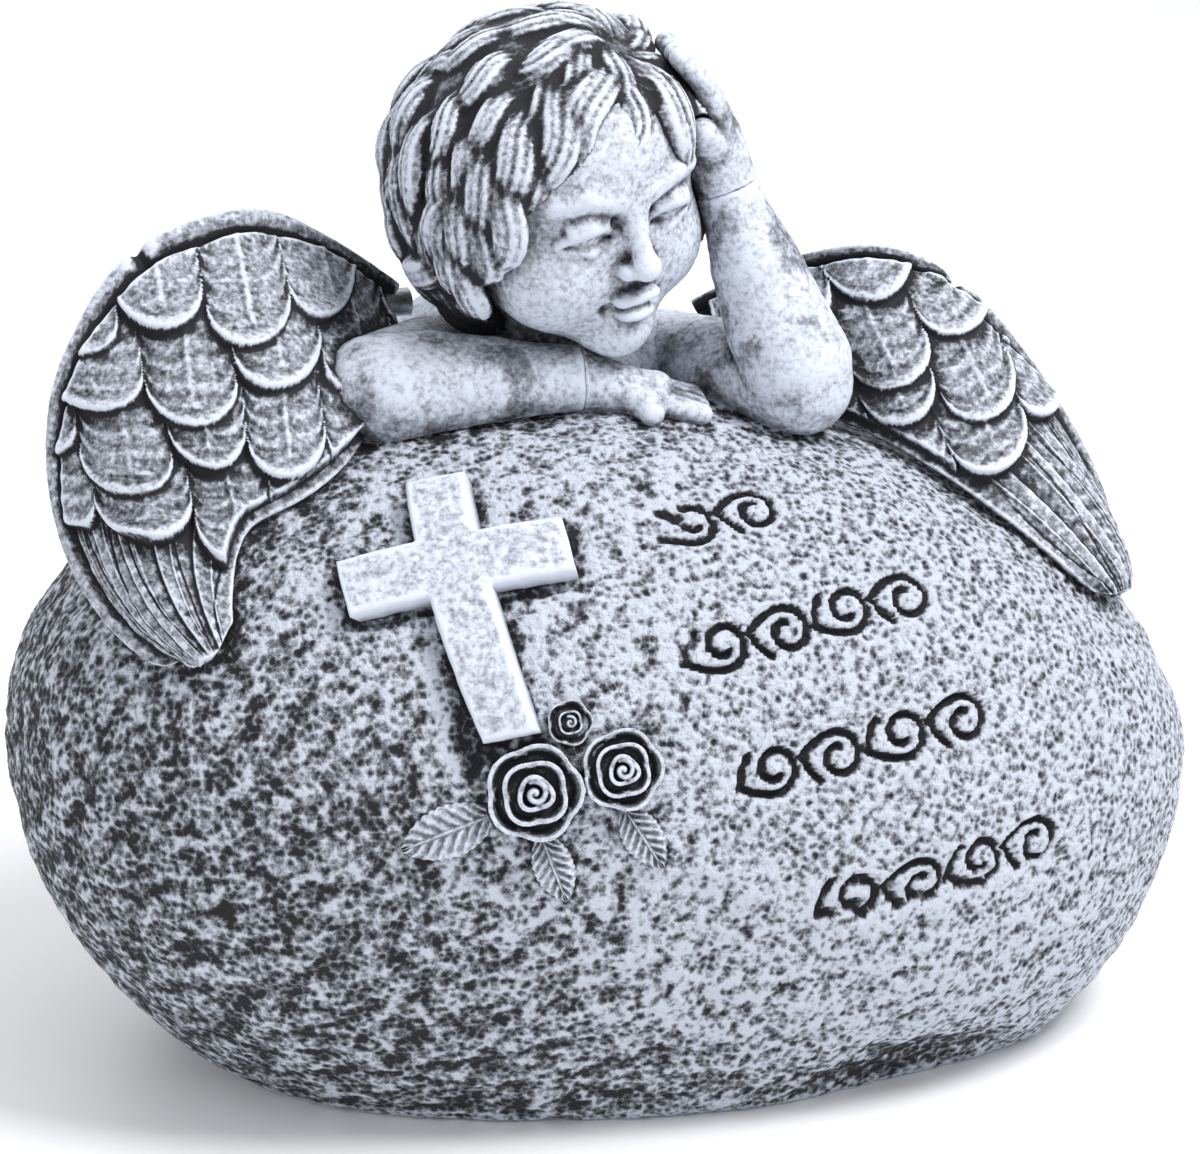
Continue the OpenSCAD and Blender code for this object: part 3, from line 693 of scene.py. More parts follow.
def build_boulder(sizes):
    """The pitted boulder, with its engraved ornament and the groove around the cross."""
    # Rings run round the long axis; they are closest together where the ornament is.
    def ring_density(x):
        ornament = smooth_step(86, 94, x) * smooth_step(160, 150, x)
        return 1 + 2.2 * ornament - 0.25 * smooth_step(60, 20, x)

    along = even_steps(ring_density, 250, 180.0)
    lat = np.radians(along - 90)

    def turn_density(t):
        return 0.5 + 1.5 * smooth_step(88, 96, t) * smooth_step(172, 160, t)

    around = np.radians(even_steps(turn_density, 401, 360.0)[:-1])
    # Turn 0 is straight down, 90 faces the front and 180 is the crown.
    ring = np.stack([-np.sin(around), -np.cos(around)], -1)
    d = np.empty((len(lat) - 2, len(around), 3))
    d[..., 0] = np.sin(lat[1:-1])[:, None]
    d[..., 1] = np.cos(lat[1:-1])[:, None] * ring[:, 0]
    d[..., 2] = np.cos(lat[1:-1])[:, None] * ring[:, 1]
    stretch = np.array([1.6, 1.0, 1.0])
    d = unit(d * stretch)
    points = leaned(d * stone_radius(d)[..., None])
    sides = np.array([[-1.0, 0, 0], [1.0, 0, 0]])
    ends = leaned(sides * stone_radius(sides)[:, None])
    m, n = points.shape[:2]
    at = np.arange(m * n).reshape(m, n)
    nxt = np.roll(at, -1, axis=1)
    quads = np.stack([at[:-1], at[1:], nxt[1:], nxt[:-1]], -1).reshape(-1, 4)
    left = [[m * n, int(a), int(b)] for a, b in zip(at[0], nxt[0])]
    right = [[m * n + 1, int(b), int(a)] for a, b in zip(at[-1], nxt[-1])]
    faces = [list(q) for q in quads] + left + right
    points = np.concatenate([points.reshape(-1, 3), ends])

    # Depressions and lumps of the natural stone, then hammer marks, then the carved lines
    n_out = unit(points - STONE_MID)
    lumps = 0.9 * grain(points, 34, 1, 2)
    marks = 0.42 * grain(points, 5.0, 2, 2) + 0.30 * grain(points, 1.9, 3, 2)
    carved = engraving(points)
    across, up, out, mid = cross_axes()
    rel = points - mid
    around_cross = cross_distance(rel @ across, rel @ up)
    facing = (rel @ out > -25) & (np.linalg.norm(rel, axis=1) < 42)
    groove = np.where(facing, 1 - smooth_step(0.5, 2.2, around_cross), 0)
    scoop = np.exp(-((points[:, 0] - 38) / 17) ** 2 - ((points[:, 2] - 3) / 7) ** 2)
    scoop = np.where(points[:, 1] < -10, scoop, 0)
    depth = sizes.engraving_depth / MM * carved + 0.7 * groove + 3.4 * scoop
    points = points + n_out * (lumps + marks * (1 - 0.7 * carved) - depth)[:, None]

    # The underside is flat, with a rounded rim.
    z = points[:, 2]
    rounding = 1.6
    points[:, 2] = np.where(
        z > rounding, z, np.where(z < -rounding, 0, (z + rounding) ** 2 / (4 * rounding))
    )
    below = z < -rounding
    shrink = np.where(below, BELLY / np.maximum(BELLY - z, 1e-6), 1)
    points[:, :2] = STONE_MID[:2] + (points[:, :2] - STONE_MID[:2]) * shrink[:, None]

    # Painted shade and light: the coat is paler on the upper right, which faces the key light, and
    # darker towards the lower left, with some random variation.
    brushed = unit(points - STONE_MID) @ unit(np.array([0.75, -0.25, 0.6]))
    brushed = brushed + 0.22 * grain(points, 26, 12, 3)
    brushed = 0.40 * smooth_step(-0.65, 0.3, brushed) - 0.31 + 0.05 * grain(points, 7, 13, 2)
    # The boulder's coat level: the painted side shade above, the dark wash kept in the carved
    # ornament and the groove round the cross, and painted shadow in the scoop under the stone's
    # undercut.
    wash = brushed - 0.75 * carved - 0.12 * groove - 0.4 * scoop
    new_piece(
        "boulder", points, faces, ["stone_shell"], "stone_resin", reach=1.6,
        shade=lambda p: wash,
    )


# ---- Head, face and hair ----


def turn_matrix():
    """The head's turn: nod, then tilt, then turn."""
    x, y, z = (math.radians(a) for a in HEAD_TURN)
    m = Matrix.Rotation(z, 3, "Z") @ Matrix.Rotation(y, 3, "Y") @ Matrix.Rotation(x, 3, "X")
    return np.array(m)


def head_place(points):
    """From the head's own axes, with the face to -Y, to the frame."""
    return points @ turn_matrix().T + HEAD_AT


def head_local(points):
    """From the frame to the head's own axes."""
    return (np.asarray(points, float) - HEAD_AT) @ turn_matrix()


def mirrored(x):
    """Both sides of the face."""
    return (-x, x)


def skull(clay):
    """The head's masses: skull, cheeks, jaw, forehead and neck."""
    clay.ball((0, 2.5, 3), (19, 19.5, 17.8), 3)
    clay.ball((0, -6, -5), (15.5, 13.5, 16), 5)
    clay.ball((0, -8.5, 8), (15.5, 11.8, 12.5), 5)
    for x in mirrored(8.6):
        clay.ball((x, -11.6, -7.6), (6.6, 6.4, 6.8), 5)
    clay.ball((0, -15.3, -17.2), (4.8, 4.2, 4.2), 5)
    clay.rod([(0, 1, -12), (2, 6, -27)], [8.2, 8.4], 4)


def face(clay):
    """A calm child's face: eyes half way down, mouth a third below the nose."""
    eye_x, eye_y, eye_z = 6.6, -15.0, 0.6
    for x in mirrored(eye_x):
        clay.ball((x, -20.2, eye_z + 0.6), (4.6, 2.9, 2.7), 2.2, cut=True)
    for x in mirrored(eye_x):
        clay.ball((x, eye_y, eye_z), 4.1, 0.5)
    for x in mirrored(eye_x):
        side = math.copysign(1, x)
        lid = [(x - side * 4.1, -17.4, eye_z - 0.9), (x - side * 2.0, -18.9, eye_z + 0.9),
               (x + side * 0.4, -19.3, eye_z + 1.25), (x + side * 2.7, -18.4, eye_z + 0.6),
               (x + side * 4.3, -16.7, eye_z - 0.9)]
        clay.rod(lid, [0.55, 0.8, 0.9, 0.8, 0.55], 0.7)
        upper = [(q[0], q[1] + 0.4, q[2] + 1.1) for q in lid[1:4]]
        clay.rod(upper, [0.9, 1.0, 0.9], 0.9)
        lower = [(x - side * 3.6, -17.4, eye_z - 1.7), (x, -18.75, eye_z - 2.55),
                 (x + side * 3.6, -17.0, eye_z - 1.7)]
        clay.rod(lower, [0.4, 0.6, 0.4], 0.7)
        slit = [(x - side * 3.4, -18.2, eye_z - 1.15), (x, -19.5, eye_z - 1.2),
                (x + side * 3.7, -17.6, eye_z - 1.2)]
        clay.rod(slit, [0.25, 0.42, 0.25], 0.3, cut=True)
        brow = [(x - side * 3.6, -19.6, 5.4), (x + side * 0.5, -19.4, 6.6),
                (x + side * 4.8, -16.8, 5.6)]
        clay.rod(brow, [0.9, 1.0, 0.6], 2.4)
    clay.rod([(0, -18.9, 4.2), (0, -20.6, -0.6), (0, -22.2, -4.2)], [1.3, 1.25, 1.6], 2.2)
    clay.ball((0, -22.4, -5.0), (2.0, 1.9, 1.7), 1.2)
    for x in mirrored(2.1):
        clay.ball((x, -20.6, -5.6), (1.25, 1.6, 1.2), 0.9)
        clay.ball((x * 0.55, -22.1, -6.9), (0.55, 0.9, 0.5), 0.4, cut=True)
    clay.rod([(0, -20.6, -7.2), (0, -20.4, -9.0)], [0.5, 0.6], 0.9, cut=True)
    for x in mirrored(1.5):
        clay.ball((x, -19.9, -10.4), (2.3, 1.5, 1.05), 0.8)
    clay.ball((0, -19.7, -12.9), (2.9, 1.7, 1.25), 0.9)
    mouth = [(-4.2, -18.1, -11.9), (-1.8, -20.9, -11.4), (0, -21.2, -11.75), (1.8, -20.9, -11.4),
             (4.2, -18.1, -11.9)]
    clay.rod(mouth, [0.3, 0.42, 0.4, 0.42, 0.3], 0.35, cut=True)
    for x in mirrored(4.5):
        clay.ball((x, -18.6, -11.9), (0.9, 0.9, 0.9), 0.8, cut=True)
    clay.ball((0, -20.6, -15.2), (2.6, 1.0, 0.8), 1.4, cut=True)


def build_head():
    """The head with its face."""
    clay = Clay((-23, -27, -31), (23, 25, 25), 0.4)
    skull(clay)
    face(clay)
    clay_piece(
        "head_form", clay, "head", "skin_resin", (0.05, 1.4, 4, 2), 1.6, place=head_place)


def hairline(turn):
    """Angle from the back of the head to the hairline, for turns round that axis, in degrees."""
    s = np.sin(np.radians(turn))
    return 117 + np.where(s > 0, 14 * s, -48 * np.abs(s) ** 1.5)


def hair_angle(d):
    """Angle from the back of the head, and the turn round that axis, in degrees."""
    theta = np.arccos(np.clip(d[..., 1], -1, 1))
    return np.degrees(theta), np.degrees(np.arctan2(d[..., 2], d[..., 0]))


def skull_reach(d):
    """Distance from the head's middle to the skull along a direction."""
    return 1 / np.sqrt((d[..., 0] / 19.5) ** 2 + (d[..., 1] / 21.5) ** 2 + (d[..., 2] / 21.4) ** 2)


def lock_path(start, heading, sway, curl, length, lift, steps=14):
    """A lock's middle line: it leaves start along heading, sways, and curls at its end."""
    d = unit(start)
    ahead = unit(heading - d * (heading @ d))
    out = []
    for k in range(steps):
        share = k / (steps - 1)
        height = lift * (0.35 + 0.75 * math.sin(math.pi * min(1, share * 1.1)))
        out.append(d * (skull_reach(d) + height))
        angle = sway * math.cos(1.5 * math.pi * share) + curl * smooth_step(0.62, 0.95, share)
        angle = angle / steps
        side = np.cross(d, ahead)
        ahead = unit(ahead * math.cos(angle) + side * math.sin(angle))
        d = unit(d + ahead * (length / steps / 23))
        ahead = unit(ahead - d * (ahead @ d))
    return np.array(out)


def add_lock(clay, path, radius, phase, soft=0.35):
    """A flat tapering lock with grooves between its strands."""
    share = np.linspace(0, 1, len(path))
    radii = radius * (0.45 + 0.65 * np.sin(math.pi * np.clip(0.12 + share * 0.86, 0, 1)))
    part, p = clay.window(path, radius * 1.9 + 1.5)
    best = np.full(p.shape[:-1], 1e9)
    for i in range(len(path) - 1):
        a, b = path[i], path[i + 1]
        w = b - a
        t, rel = from_segment(p, a, b)
        side = unit(np.cross(w, unit(a)))
        up = np.cross(side, unit(w))
        x, y = rel @ side, rel @ up
        along = (rel**2).sum(-1) - x * x - y * y
        r = radii[i] + (radii[i + 1] - radii[i]) * t
        strands = (0.13 * np.cos(4.4 * x + phase) - 0.22 * np.exp(-(((x - 0.3) / 0.35) ** 2)))
        d = np.sqrt((0.74 * x) ** 2 + (1.1 * y) ** 2 + np.maximum(along, 0)) - r - strands
        best = np.minimum(best, d)
    clay.join(part, best, soft)


def build_hair(sizes):
    """Long locks swept back from the parting, over the skull and down to the nape."""
    rng = np.random.default_rng(11)
    clay = Clay((-31, -27, -22), (31, 33, 31), 0.5)
    _, p = clay.everywhere()
    d = unit(p)
    r = np.linalg.norm(p, axis=-1)
    theta, turn = hair_angle(d)
    edge = (theta - hairline(turn)) * 0.35
    shell = np.abs(r - skull_reach(d) - 0.5) - 1.0
    clay.d[...] = np.maximum(shell, edge)

    parting = unit(np.array([0.30, -0.30, 0.9]))
    thick = sizes.lock_radius / MM
    count = 150
    for k in range(count):
        z = 1 - 2 * (k + 0.5) / count
        q = math.sqrt(1 - z * z)
        start = np.array([q * math.cos(GOLDEN * k), q * math.sin(GOLDEN * k), z])
        theta, turn = hair_angle(start)
        if theta > hairline(turn) - 4 or start[2] < -0.8:
            continue
        heading = start - parting + np.array([0, 0.1, -0.2])
        # Neighbours sway the same way, but for a stray lock now and then.
        sway = (1 if rng.random() < 0.82 else -1) * rng.uniform(2.2, 4.0)
        top = smooth_step(0.6, 0.97, start[2])
        path = lock_path(
            start, heading, sway, -1.3 * sway, rng.uniform(15, 23) * (1 - 0.3 * top),
            rng.uniform(1.3, 3.1) * (1 - 0.45 * top),
        )
        radius = thick * rng.uniform(0.62, 0.92) * (1 - 0.12 * top)
        add_lock(clay, path, radius, rng.uniform(0, 6.28))

    # A whorl of locks leaves the parting.
    u = unit(np.cross(parting, [0, 1.0, 0]))
    v = np.cross(parting, u)
    for k in range(15):
        a = 2 * math.pi * k / 15
        way = u * math.cos(a) + v * math.sin(a)
        start = unit(parting + way * (0.10 if k % 2 else 0.26))
        path = lock_path(start, way + 0.5 * np.cross(parting, way), 2.4, -3.4, 15, 1.3)
        add_lock(clay, path, thick * 0.68, 1.3 * k)

    # Larger locks frame the face.
    for turn in (8, 30, 50, 68, 86, 104, 122, 140, 158, 176, 196, -16):
        theta = math.radians(float(hairline(turn)) - 12)
        a = math.radians(turn)
        out = math.sin(theta)
        start = np.array([out * math.cos(a), math.cos(theta), out * math.sin(a)])
        heading = np.array([math.cos(a) * 1.2 - 0.25, -0.25, math.sin(a) * 0.15 - 0.3])
        sign = 1 if math.cos(a) > 0 else -1
        path = lock_path(start, heading, -sign * 2.4, -sign * 4.2, 17, 2.4)
        add_lock(clay, path, thick * 0.86, 0.7 * turn)
    for points, radii in left_arm_rods() + left_hand_rods():
        clay.rod(head_local(points), np.asarray(radii) + 0.4, 0.3, cut=True)
    clay_piece("hair_locks", clay, "hair_cap", "hair_resin", None, 2.2, place=head_place)


# ---- Body, arms and hands ----

NECK_BASE = on_stone(np.array([-6.0, 21, STONE_TOP]), 3.0)
SHOULDER_RIGHT = on_stone(np.array([-25.0, 17, 104]), 3.5)
SHOULDER_LEFT = on_stone(np.array([14.0, 17, 99]), 3.5)
RIGHT_ELBOW = on_stone(np.array([-31.0, -2, 96]), ELBOW - 1.5)
RIGHT_WRIST = on_stone(np.array([-3.0, -4, 94]), WRIST)
LEFT_ELBOW = on_stone(np.array([25.5, -5, 92]), ELBOW - 1.0)
LEFT_WRIST = HEAD_AT + np.array([24, -4.5, -2])


def trim_to_stone(clay, gap=GLUE):
    """Cuts away what lies in the boulder."""
    clay.trim(lambda p: gap - over_stone(p))


def build_torso():
    """Shoulders, back with its spine and shoulder blades, and the neck."""
    clay = Clay((-38, -4, 40), (28, 56, 122), 0.6)
    spine = [leaned(q) for q in (
        (-14, 10, 50), (-15, 21, 51), (-15, 30, 46), (-15, 37, 36), (-15, 41, 25), (-15, 43, 13))]
    clay.rod([SHOULDER_RIGHT, spine[1], SHOULDER_LEFT], [7.4, 10.0, 7.4], 5)
    masses = ((21, 13.5, 15), (18.5, 12.0, 14), (17.0, 10.0, 13), (12.5, 6.0, 11))
    for at, size in zip(spine[2:], masses):
        clay.ball(at, size, 7)
    clay.ball(spine[0], (15, 9, 9), 6)
    clay.rod([NECK_BASE, HEAD_AT + np.array([0, 4, -16])], [9.0, 8.2], 5)
    for side in mirrored(9.5):
        blade = leaned((-15 + side, 39.5, 46))
        clay.ball(blade, (5.5, 4.0, 8.0), 5)
        dimple = leaned((-15 + side * 0.62, 52.5, 22))
        clay.ball(dimple, (1.6, 1.6, 1.6), 2, cut=True)
    furrow = [leaned(q) for q in (
        (-15, 46.5, 56), (-15, 50.8, 44), (-15, 53.2, 32), (-15, 53.4, 20))]
    clay.rod(furrow, [1.2, 1.5, 1.5, 1.0], 4, cut=True)
    trim_to_stone(clay)
    clay_piece("torso_form", clay, "torso", "skin_resin", (0.10, 2.2, 5, 3), 2.4)


def arm_clay(balls, low, high, wrist, way):
    """A soft limb through (place, radius) pairs, which ends at the wrist, square to a way."""
    clay = Clay(low, high, 0.5)
    clay.rod([b[0] for b in balls], [b[1] for b in balls], 2.0)
    clay.trim(lambda p: (p - wrist) @ unit(way))
    trim_to_stone(clay)
    return clay


def between(a, b, share):
    """The point at a share of the way from a to b."""
    return a * (1 - share) + b * share


def left_arm_rods():
    """The left arm, from the shoulder to the wrist, as (points, radii)."""
    cut = LEFT_WRIST - LEFT_ELBOW
    balls = [
        (SHOULDER_LEFT, 7.5), (between(SHOULDER_LEFT, LEFT_ELBOW, 0.5), 7.3), (LEFT_ELBOW, ELBOW),
        (LEFT_ELBOW + np.array([-0.6, 0, 3]), ELBOW + 0.4),
        (between(LEFT_ELBOW, LEFT_WRIST, 0.3), 7.5),
        (between(LEFT_ELBOW, LEFT_WRIST, 0.6), 6.4), (between(LEFT_ELBOW, LEFT_WRIST, 0.85), 4.9),
        (LEFT_WRIST + unit(cut) * 3, WRIST)]
    return [tuple(zip(*balls))]


def left_hand_rods():
    """The left hand's palm, fingers and thumb, as (points, radii)."""
    palm = LEFT_WRIST + np.array([-2.5, -0.5, 7.5])
    wrist = LEFT_WRIST - unit(LEFT_WRIST - LEFT_ELBOW)
    rods = [((wrist, palm, palm + np.array([-0.8, 0, 2.5])), (WRIST, 4.4, 3.9))]
    for k in (-1.5, -0.5, 0.5, 1.5):
        knuckle = palm + np.array([0, 2.2 * k, 4.5])
        joint = knuckle + np.array([-2, 0.5 * k, 4.5])
        tip = knuckle + np.array([-5.5, 0.7 * k, 8.2])
        rods.append(((palm + np.array([0, 1.5 * k, 0]), knuckle, joint, tip),
                     (2.8, FINGER * 1.15, FINGER, FINGER * 0.85)))
    thumb = (palm + np.array([0, -2, -1]), palm + np.array([-2.6, -6, 2.4]))
    return rods + [(thumb, (2.8, FINGER * 1.15))]


def build_arms():
    """Both arms: the right one lies along the crown, the left one props the head."""
    speckle = (0.07, 1.8, 6, 3)
    cut = RIGHT_WRIST - RIGHT_ELBOW
    right = arm_clay(
        [(SHOULDER_RIGHT, 7.5), (between(SHOULDER_RIGHT, RIGHT_ELBOW, 0.5), 7.5),
         (RIGHT_ELBOW, ELBOW), (RIGHT_ELBOW + np.array([2.5, -1.4, 0.2]), ELBOW + 0.3),
         (between(RIGHT_ELBOW, RIGHT_WRIST, 0.28), 7.8),
         (between(RIGHT_ELBOW, RIGHT_WRIST, 0.55), 6.6),
         (between(RIGHT_ELBOW, RIGHT_WRIST, 0.8), 5.2), (RIGHT_WRIST + unit(cut) * 3, WRIST)],
        (-44, -16, 84), (4, 30, 114), RIGHT_WRIST, cut,
    )
    clay_piece("right_arm_form", right, "right_arm", "skin_resin", speckle, 2.0, patches)

    cut = LEFT_WRIST - LEFT_ELBOW
    balls = list(zip(*left_arm_rods()[0]))
    left = arm_clay(balls, (2, -18, 82), (40, 30, 130), LEFT_WRIST, cut)
    clay_piece("left_arm_form", left, "left_arm", "skin_resin", speckle, 2.0, patches)


def build_hands():
    """The right hand lies flat under the chin; the left one holds the temple."""
    speckle = (0.05, 1.4, 8, 2)
    way = unit(RIGHT_WRIST - RIGHT_ELBOW)
    clay = Clay(RIGHT_WRIST + np.array([-4, -13, -9]), RIGHT_WRIST + np.array([23, 11, 8]), 0.32)
    palm = on_stone(RIGHT_WRIST + np.array([7.0, -1, 0]), 2.6)
    clay.rod([RIGHT_WRIST - way, palm, palm + np.array([3, -0.4, 0])], [WRIST, 3.4, 3.0], 1)
    for k in (-1.5, -0.5, 0.5, 1.5):
        knuckle = on_stone(palm + np.array([4, 1.9 * k, 0]), 2.2)
        tip = on_stone(knuckle + np.array([5.5, 0.4 * k - 0.5, -1]), 1.5)
        root = palm + np.array([0, 1.2 * k, 0])
        clay.rod([root, knuckle, tip], [2.4, FINGER, FINGER * 0.85], 0.5)
    thumb = on_stone(palm + np.array([2.0, -5, 0]), 1.6)
    clay.rod([palm, thumb], [2.6, FINGER], 0.8)
    clay.trim(lambda p: (RIGHT_WRIST - p) @ way)
    trim_to_stone(clay)
    clay_piece("right_hand_form", clay, "right_hand", "skin_resin", speckle, 1.2, patches)

    way = unit(LEFT_WRIST - LEFT_ELBOW)
    clay = Clay(LEFT_WRIST + np.array([-19, -12, -5]), LEFT_WRIST + np.array([8, 9, 24]), 0.32)
    for k, (points, radii) in enumerate(left_hand_rods()):
        clay.rod(points, radii, 1.0 if k == 0 else 0.5)
    clay.trim(lambda p: (LEFT_WRIST - p) @ way)
    clay_piece("left_hand_form", clay, "left_hand", "skin_resin", speckle, 1.2, patches)


# ---- Wings ----

RIGHT_EDGE = [(-38, 21, 59), (-50, 18, 66), (-61, 14, 70), (-75, 9, 64.5), (-81.5, 4, 54),
              (-83.5, -1, 42.5), (-81, -10, 31), (-74, -22, 23), (-64.5, -32, 20)]
RIGHT_TRAIL = [(-38, 12, 52), (-41.5, -1, 48), (-45.5, -12, 43.5), (-51.5, -17, 40),
               (-59, -18.5, 36), (-61.5, -22, 33), (-62.5, -26, 30), (-62.5, -29.5, 26.5),
               (-61.5, -33, 22)]
LEFT_EDGE = [(10, 21, 59), (21, 18, 66.5), (32, 14, 70.5), (42.5, 11, 66), (52, 7, 57),
             (60, 2, 46.5), (64, -4, 38.5), (65, -9.5, 32.5), (63.5, -14, 29.5)]
LEFT_TRAIL = [(10, 12, 52), (20, 3, 50), (29, -3, 48), (36.5, -9, 45), (44, -14, 41),
              (50.5, -17, 37.5), (55, -18.5, 34), (58, -18.5, 31.5), (60, -17.5, 30)]


def blade(edge, trail, s, t):
    """Middle of a wing's blade: s along the leading edge, t from it to the trailing edge."""
    a = leaned(curve(edge, s))
    b = on_stone(leaned(curve(trail, s)), GLUE + 0.9)
    p = a + (b - a) * t[..., None]
    arch = WING_ARCH * np.sin(math.pi * t) * np.minimum(1, 3 * s)
    return p + unit(p - STONE_MID) * arch[..., None]


def blade_normal(edge, trail, s, t, side):
    """Outward normal of the blade."""
    step = 0.02
    s, t = np.minimum(s, 1 - step), np.minimum(t, 1 - step)
    p = blade(edge, trail, s, t)
    along, over = blade(edge, trail, s + step, t) - p, blade(edge, trail, s, t + step) - p
    return side * unit(np.cross(along, over))


def blade_half(s, t):
    """Half the blade's thickness: thick at its leading edge, thin where it meets the boulder."""
    thin = 1 - 0.62 * np.maximum(smooth_step(0.6, 1, t), smooth_step(0.8, 1, s))
    return (WING_THICK * thin + WING_RIM * np.exp(-((t / 0.12) ** 2))) / 2


def primary_relief(s, t):
    """Long flight feathers side by side, each lying over the next."""
    count = 5
    lane = np.clip((t - 0.1) / 0.9, 0, 0.9999) * count
    k = np.floor(lane)
    u = 2 * (lane - k) - 1
    overlap = 0.55 * (1 - smooth_step(-1.0, 0.95, u))
    shaft = 0.22 * np.exp(-(((u + 0.1) / 0.07) ** 2))
    split = -0.35 * np.exp(-(((u - 0.45 * np.sin(9 * s + 2.1 * k)) / 0.05) ** 2))
    split = split * smooth_step(0.5, 0.56, s)
    barbs = 0.05 * np.sin(150 * s + 2.5 * np.abs(u) + k)
    return overlap + shaft + split + barbs


# Feather direction across and down, first row's tips, and pitch, in the boulder's leaning axes
COVERTS = {1: ((0.15, -0.99), -65.0, 7.6), -1: ((0.42, -0.91), -44.0, 7.2)}


def covert_relief(p, side):
    """Rows of round-ended coverts, upper rows over lower ones, at points of a wing."""
    (fx, fz), first, pitch = COVERTS[side]
    q = upright(p)
    down = q[..., 0] * fx + q[..., 2] * fz
    across = -q[..., 0] * fz + q[..., 2] * fx
    height = np.zeros_like(down)
    open_place = np.ones(down.shape, bool)
    for k in range(4):
        width = 10.8 + 0.7 * math.sin(2.1 * k)
        lane = across / width + 0.5 * k + 0.2
        number = np.floor(lane)
        u = 2 * (lane - number) - 1
        tip = first + k * pitch + 1.8 * np.sin(2.4 * number + 1.7 * k)
        ahead = tip - 4.6 * (1 - np.sqrt(np.maximum(0, 1 - u * u))) - down
        inside = (ahead > 0) & open_place
        share = np.clip(1 - ahead / 12, 0, 1)
        lip = 0.3 * (1 - smooth_step(0.7, 2.0, ahead)) - 0.3 * (1 - smooth_step(0.0, 0.35, ahead))
        dome = 0.8 * (1 - u * u)
        quill = 0.16 * np.exp(-((u / 0.08) ** 2)) * smooth_step(1.0, 4.0, ahead)
        barbs = 0.07 * np.sin(2.6 * ahead + 5 * np.abs(u) + number) * smooth_step(1.5, 2.6, ahead)
        scale = 0.25 + 0.95 * share + dome + quill + barbs + lip
        height = np.where(inside, scale, height)
        open_place &= ~inside
    return height


def wing_grid(edge, trail, side, s, t, height, inner=False):
    """Points of the blade's outer face, raised by a height, or of its inner face."""
    mid = blade(edge, trail, s, t)
    n = blade_normal(edge, trail, s, t, side)
    half = blade_half(s, t)
    if inner:
        return off_stone(mid - n * (half + height)[..., None], GLUE)
    return off_stone(mid + n * (half + height)[..., None], 0)


def build_wing(name, edge, trail, side, sizes):
    """One wing: the blade with its flight feathers, and its rows of coverts."""
    relief = sizes.feather_relief / MM
    rows, cols = 300, 150
    s, t = np.meshgrid(np.linspace(0, 1, rows), np.linspace(0, 1, cols) ** 1.15, indexing="ij")
    s = s * (1 - 0.11 * np.abs(2 * t - 1) ** 3)
    long = primary_relief(s, t)
    fade = smooth_step(0, 0.03, t) * smooth_step(1, 0.97, t) * smooth_step(1, 0.96, s)
    roll = 1.5 * np.sqrt(np.maximum(0, 1 - ((t - 0.045) / 0.06) ** 2))
    gutter = 0.9 * np.exp(-(((t - 0.118) / 0.014) ** 2))
    notch = 1.6 * np.exp(-(((s - 0.37) / 0.008) ** 2)) * smooth_step(0.16, 0.1, t)
    height = relief * (np.where(t < 0.105, roll, long) * fade) - gutter - notch
    top = wing_grid(edge, trail, side, s, t, height)
    lift = np.maximum(over_stone(top), GLUE + 0.5 + relief * np.clip(long, 0, 2) * fade)
    top = off_stone(top, lift)
    back = relief * 0.6 * (long * fade)
    bottom = wing_grid(edge, trail, side, s, t, back - 0.3, inner=True)
    points, faces = grid_solid(top, bottom)
    worn = (0.07, 1.6, 9, 2)
    new_piece(name + "_blade", points, faces, [name], "wing_resin", worn, 1.4)

    rows, cols = 290, 165
    a, b = np.meshgrid(np.linspace(0, 1, rows), np.linspace(0, 1, cols), indexing="ij")
    s, t = 0.02 + 0.72 * a, 0.115 + 0.86 * b
    cover = covert_relief(blade(edge, trail, s, t), side)
    cover = cover * smooth_step(1, 0.98, a) * smooth_step(0, 0.02, a)
    cover = cover * smooth_step(0, 0.02, b) * smooth_step(1, 0.97, b)
    base = wing_grid(edge, trail, side, s, t, np.full_like(s, -0.6))
    top = wing_grid(edge, trail, side, s, t, -0.35 + relief * 1.5 * cover)
    low = np.maximum(over_stone(base), GLUE)
    base = on_stone(base, low)
    top = np.where((over_stone(top) < low + 0.2)[..., None], on_stone(base, low + 0.2), top)
    points, faces = grid_solid(top, base)
    new_piece(
        name + "_covert_feathers", points, faces, [name + "_coverts"], "wing_resin", worn, 1.2)


# ---- Cross and roses ----


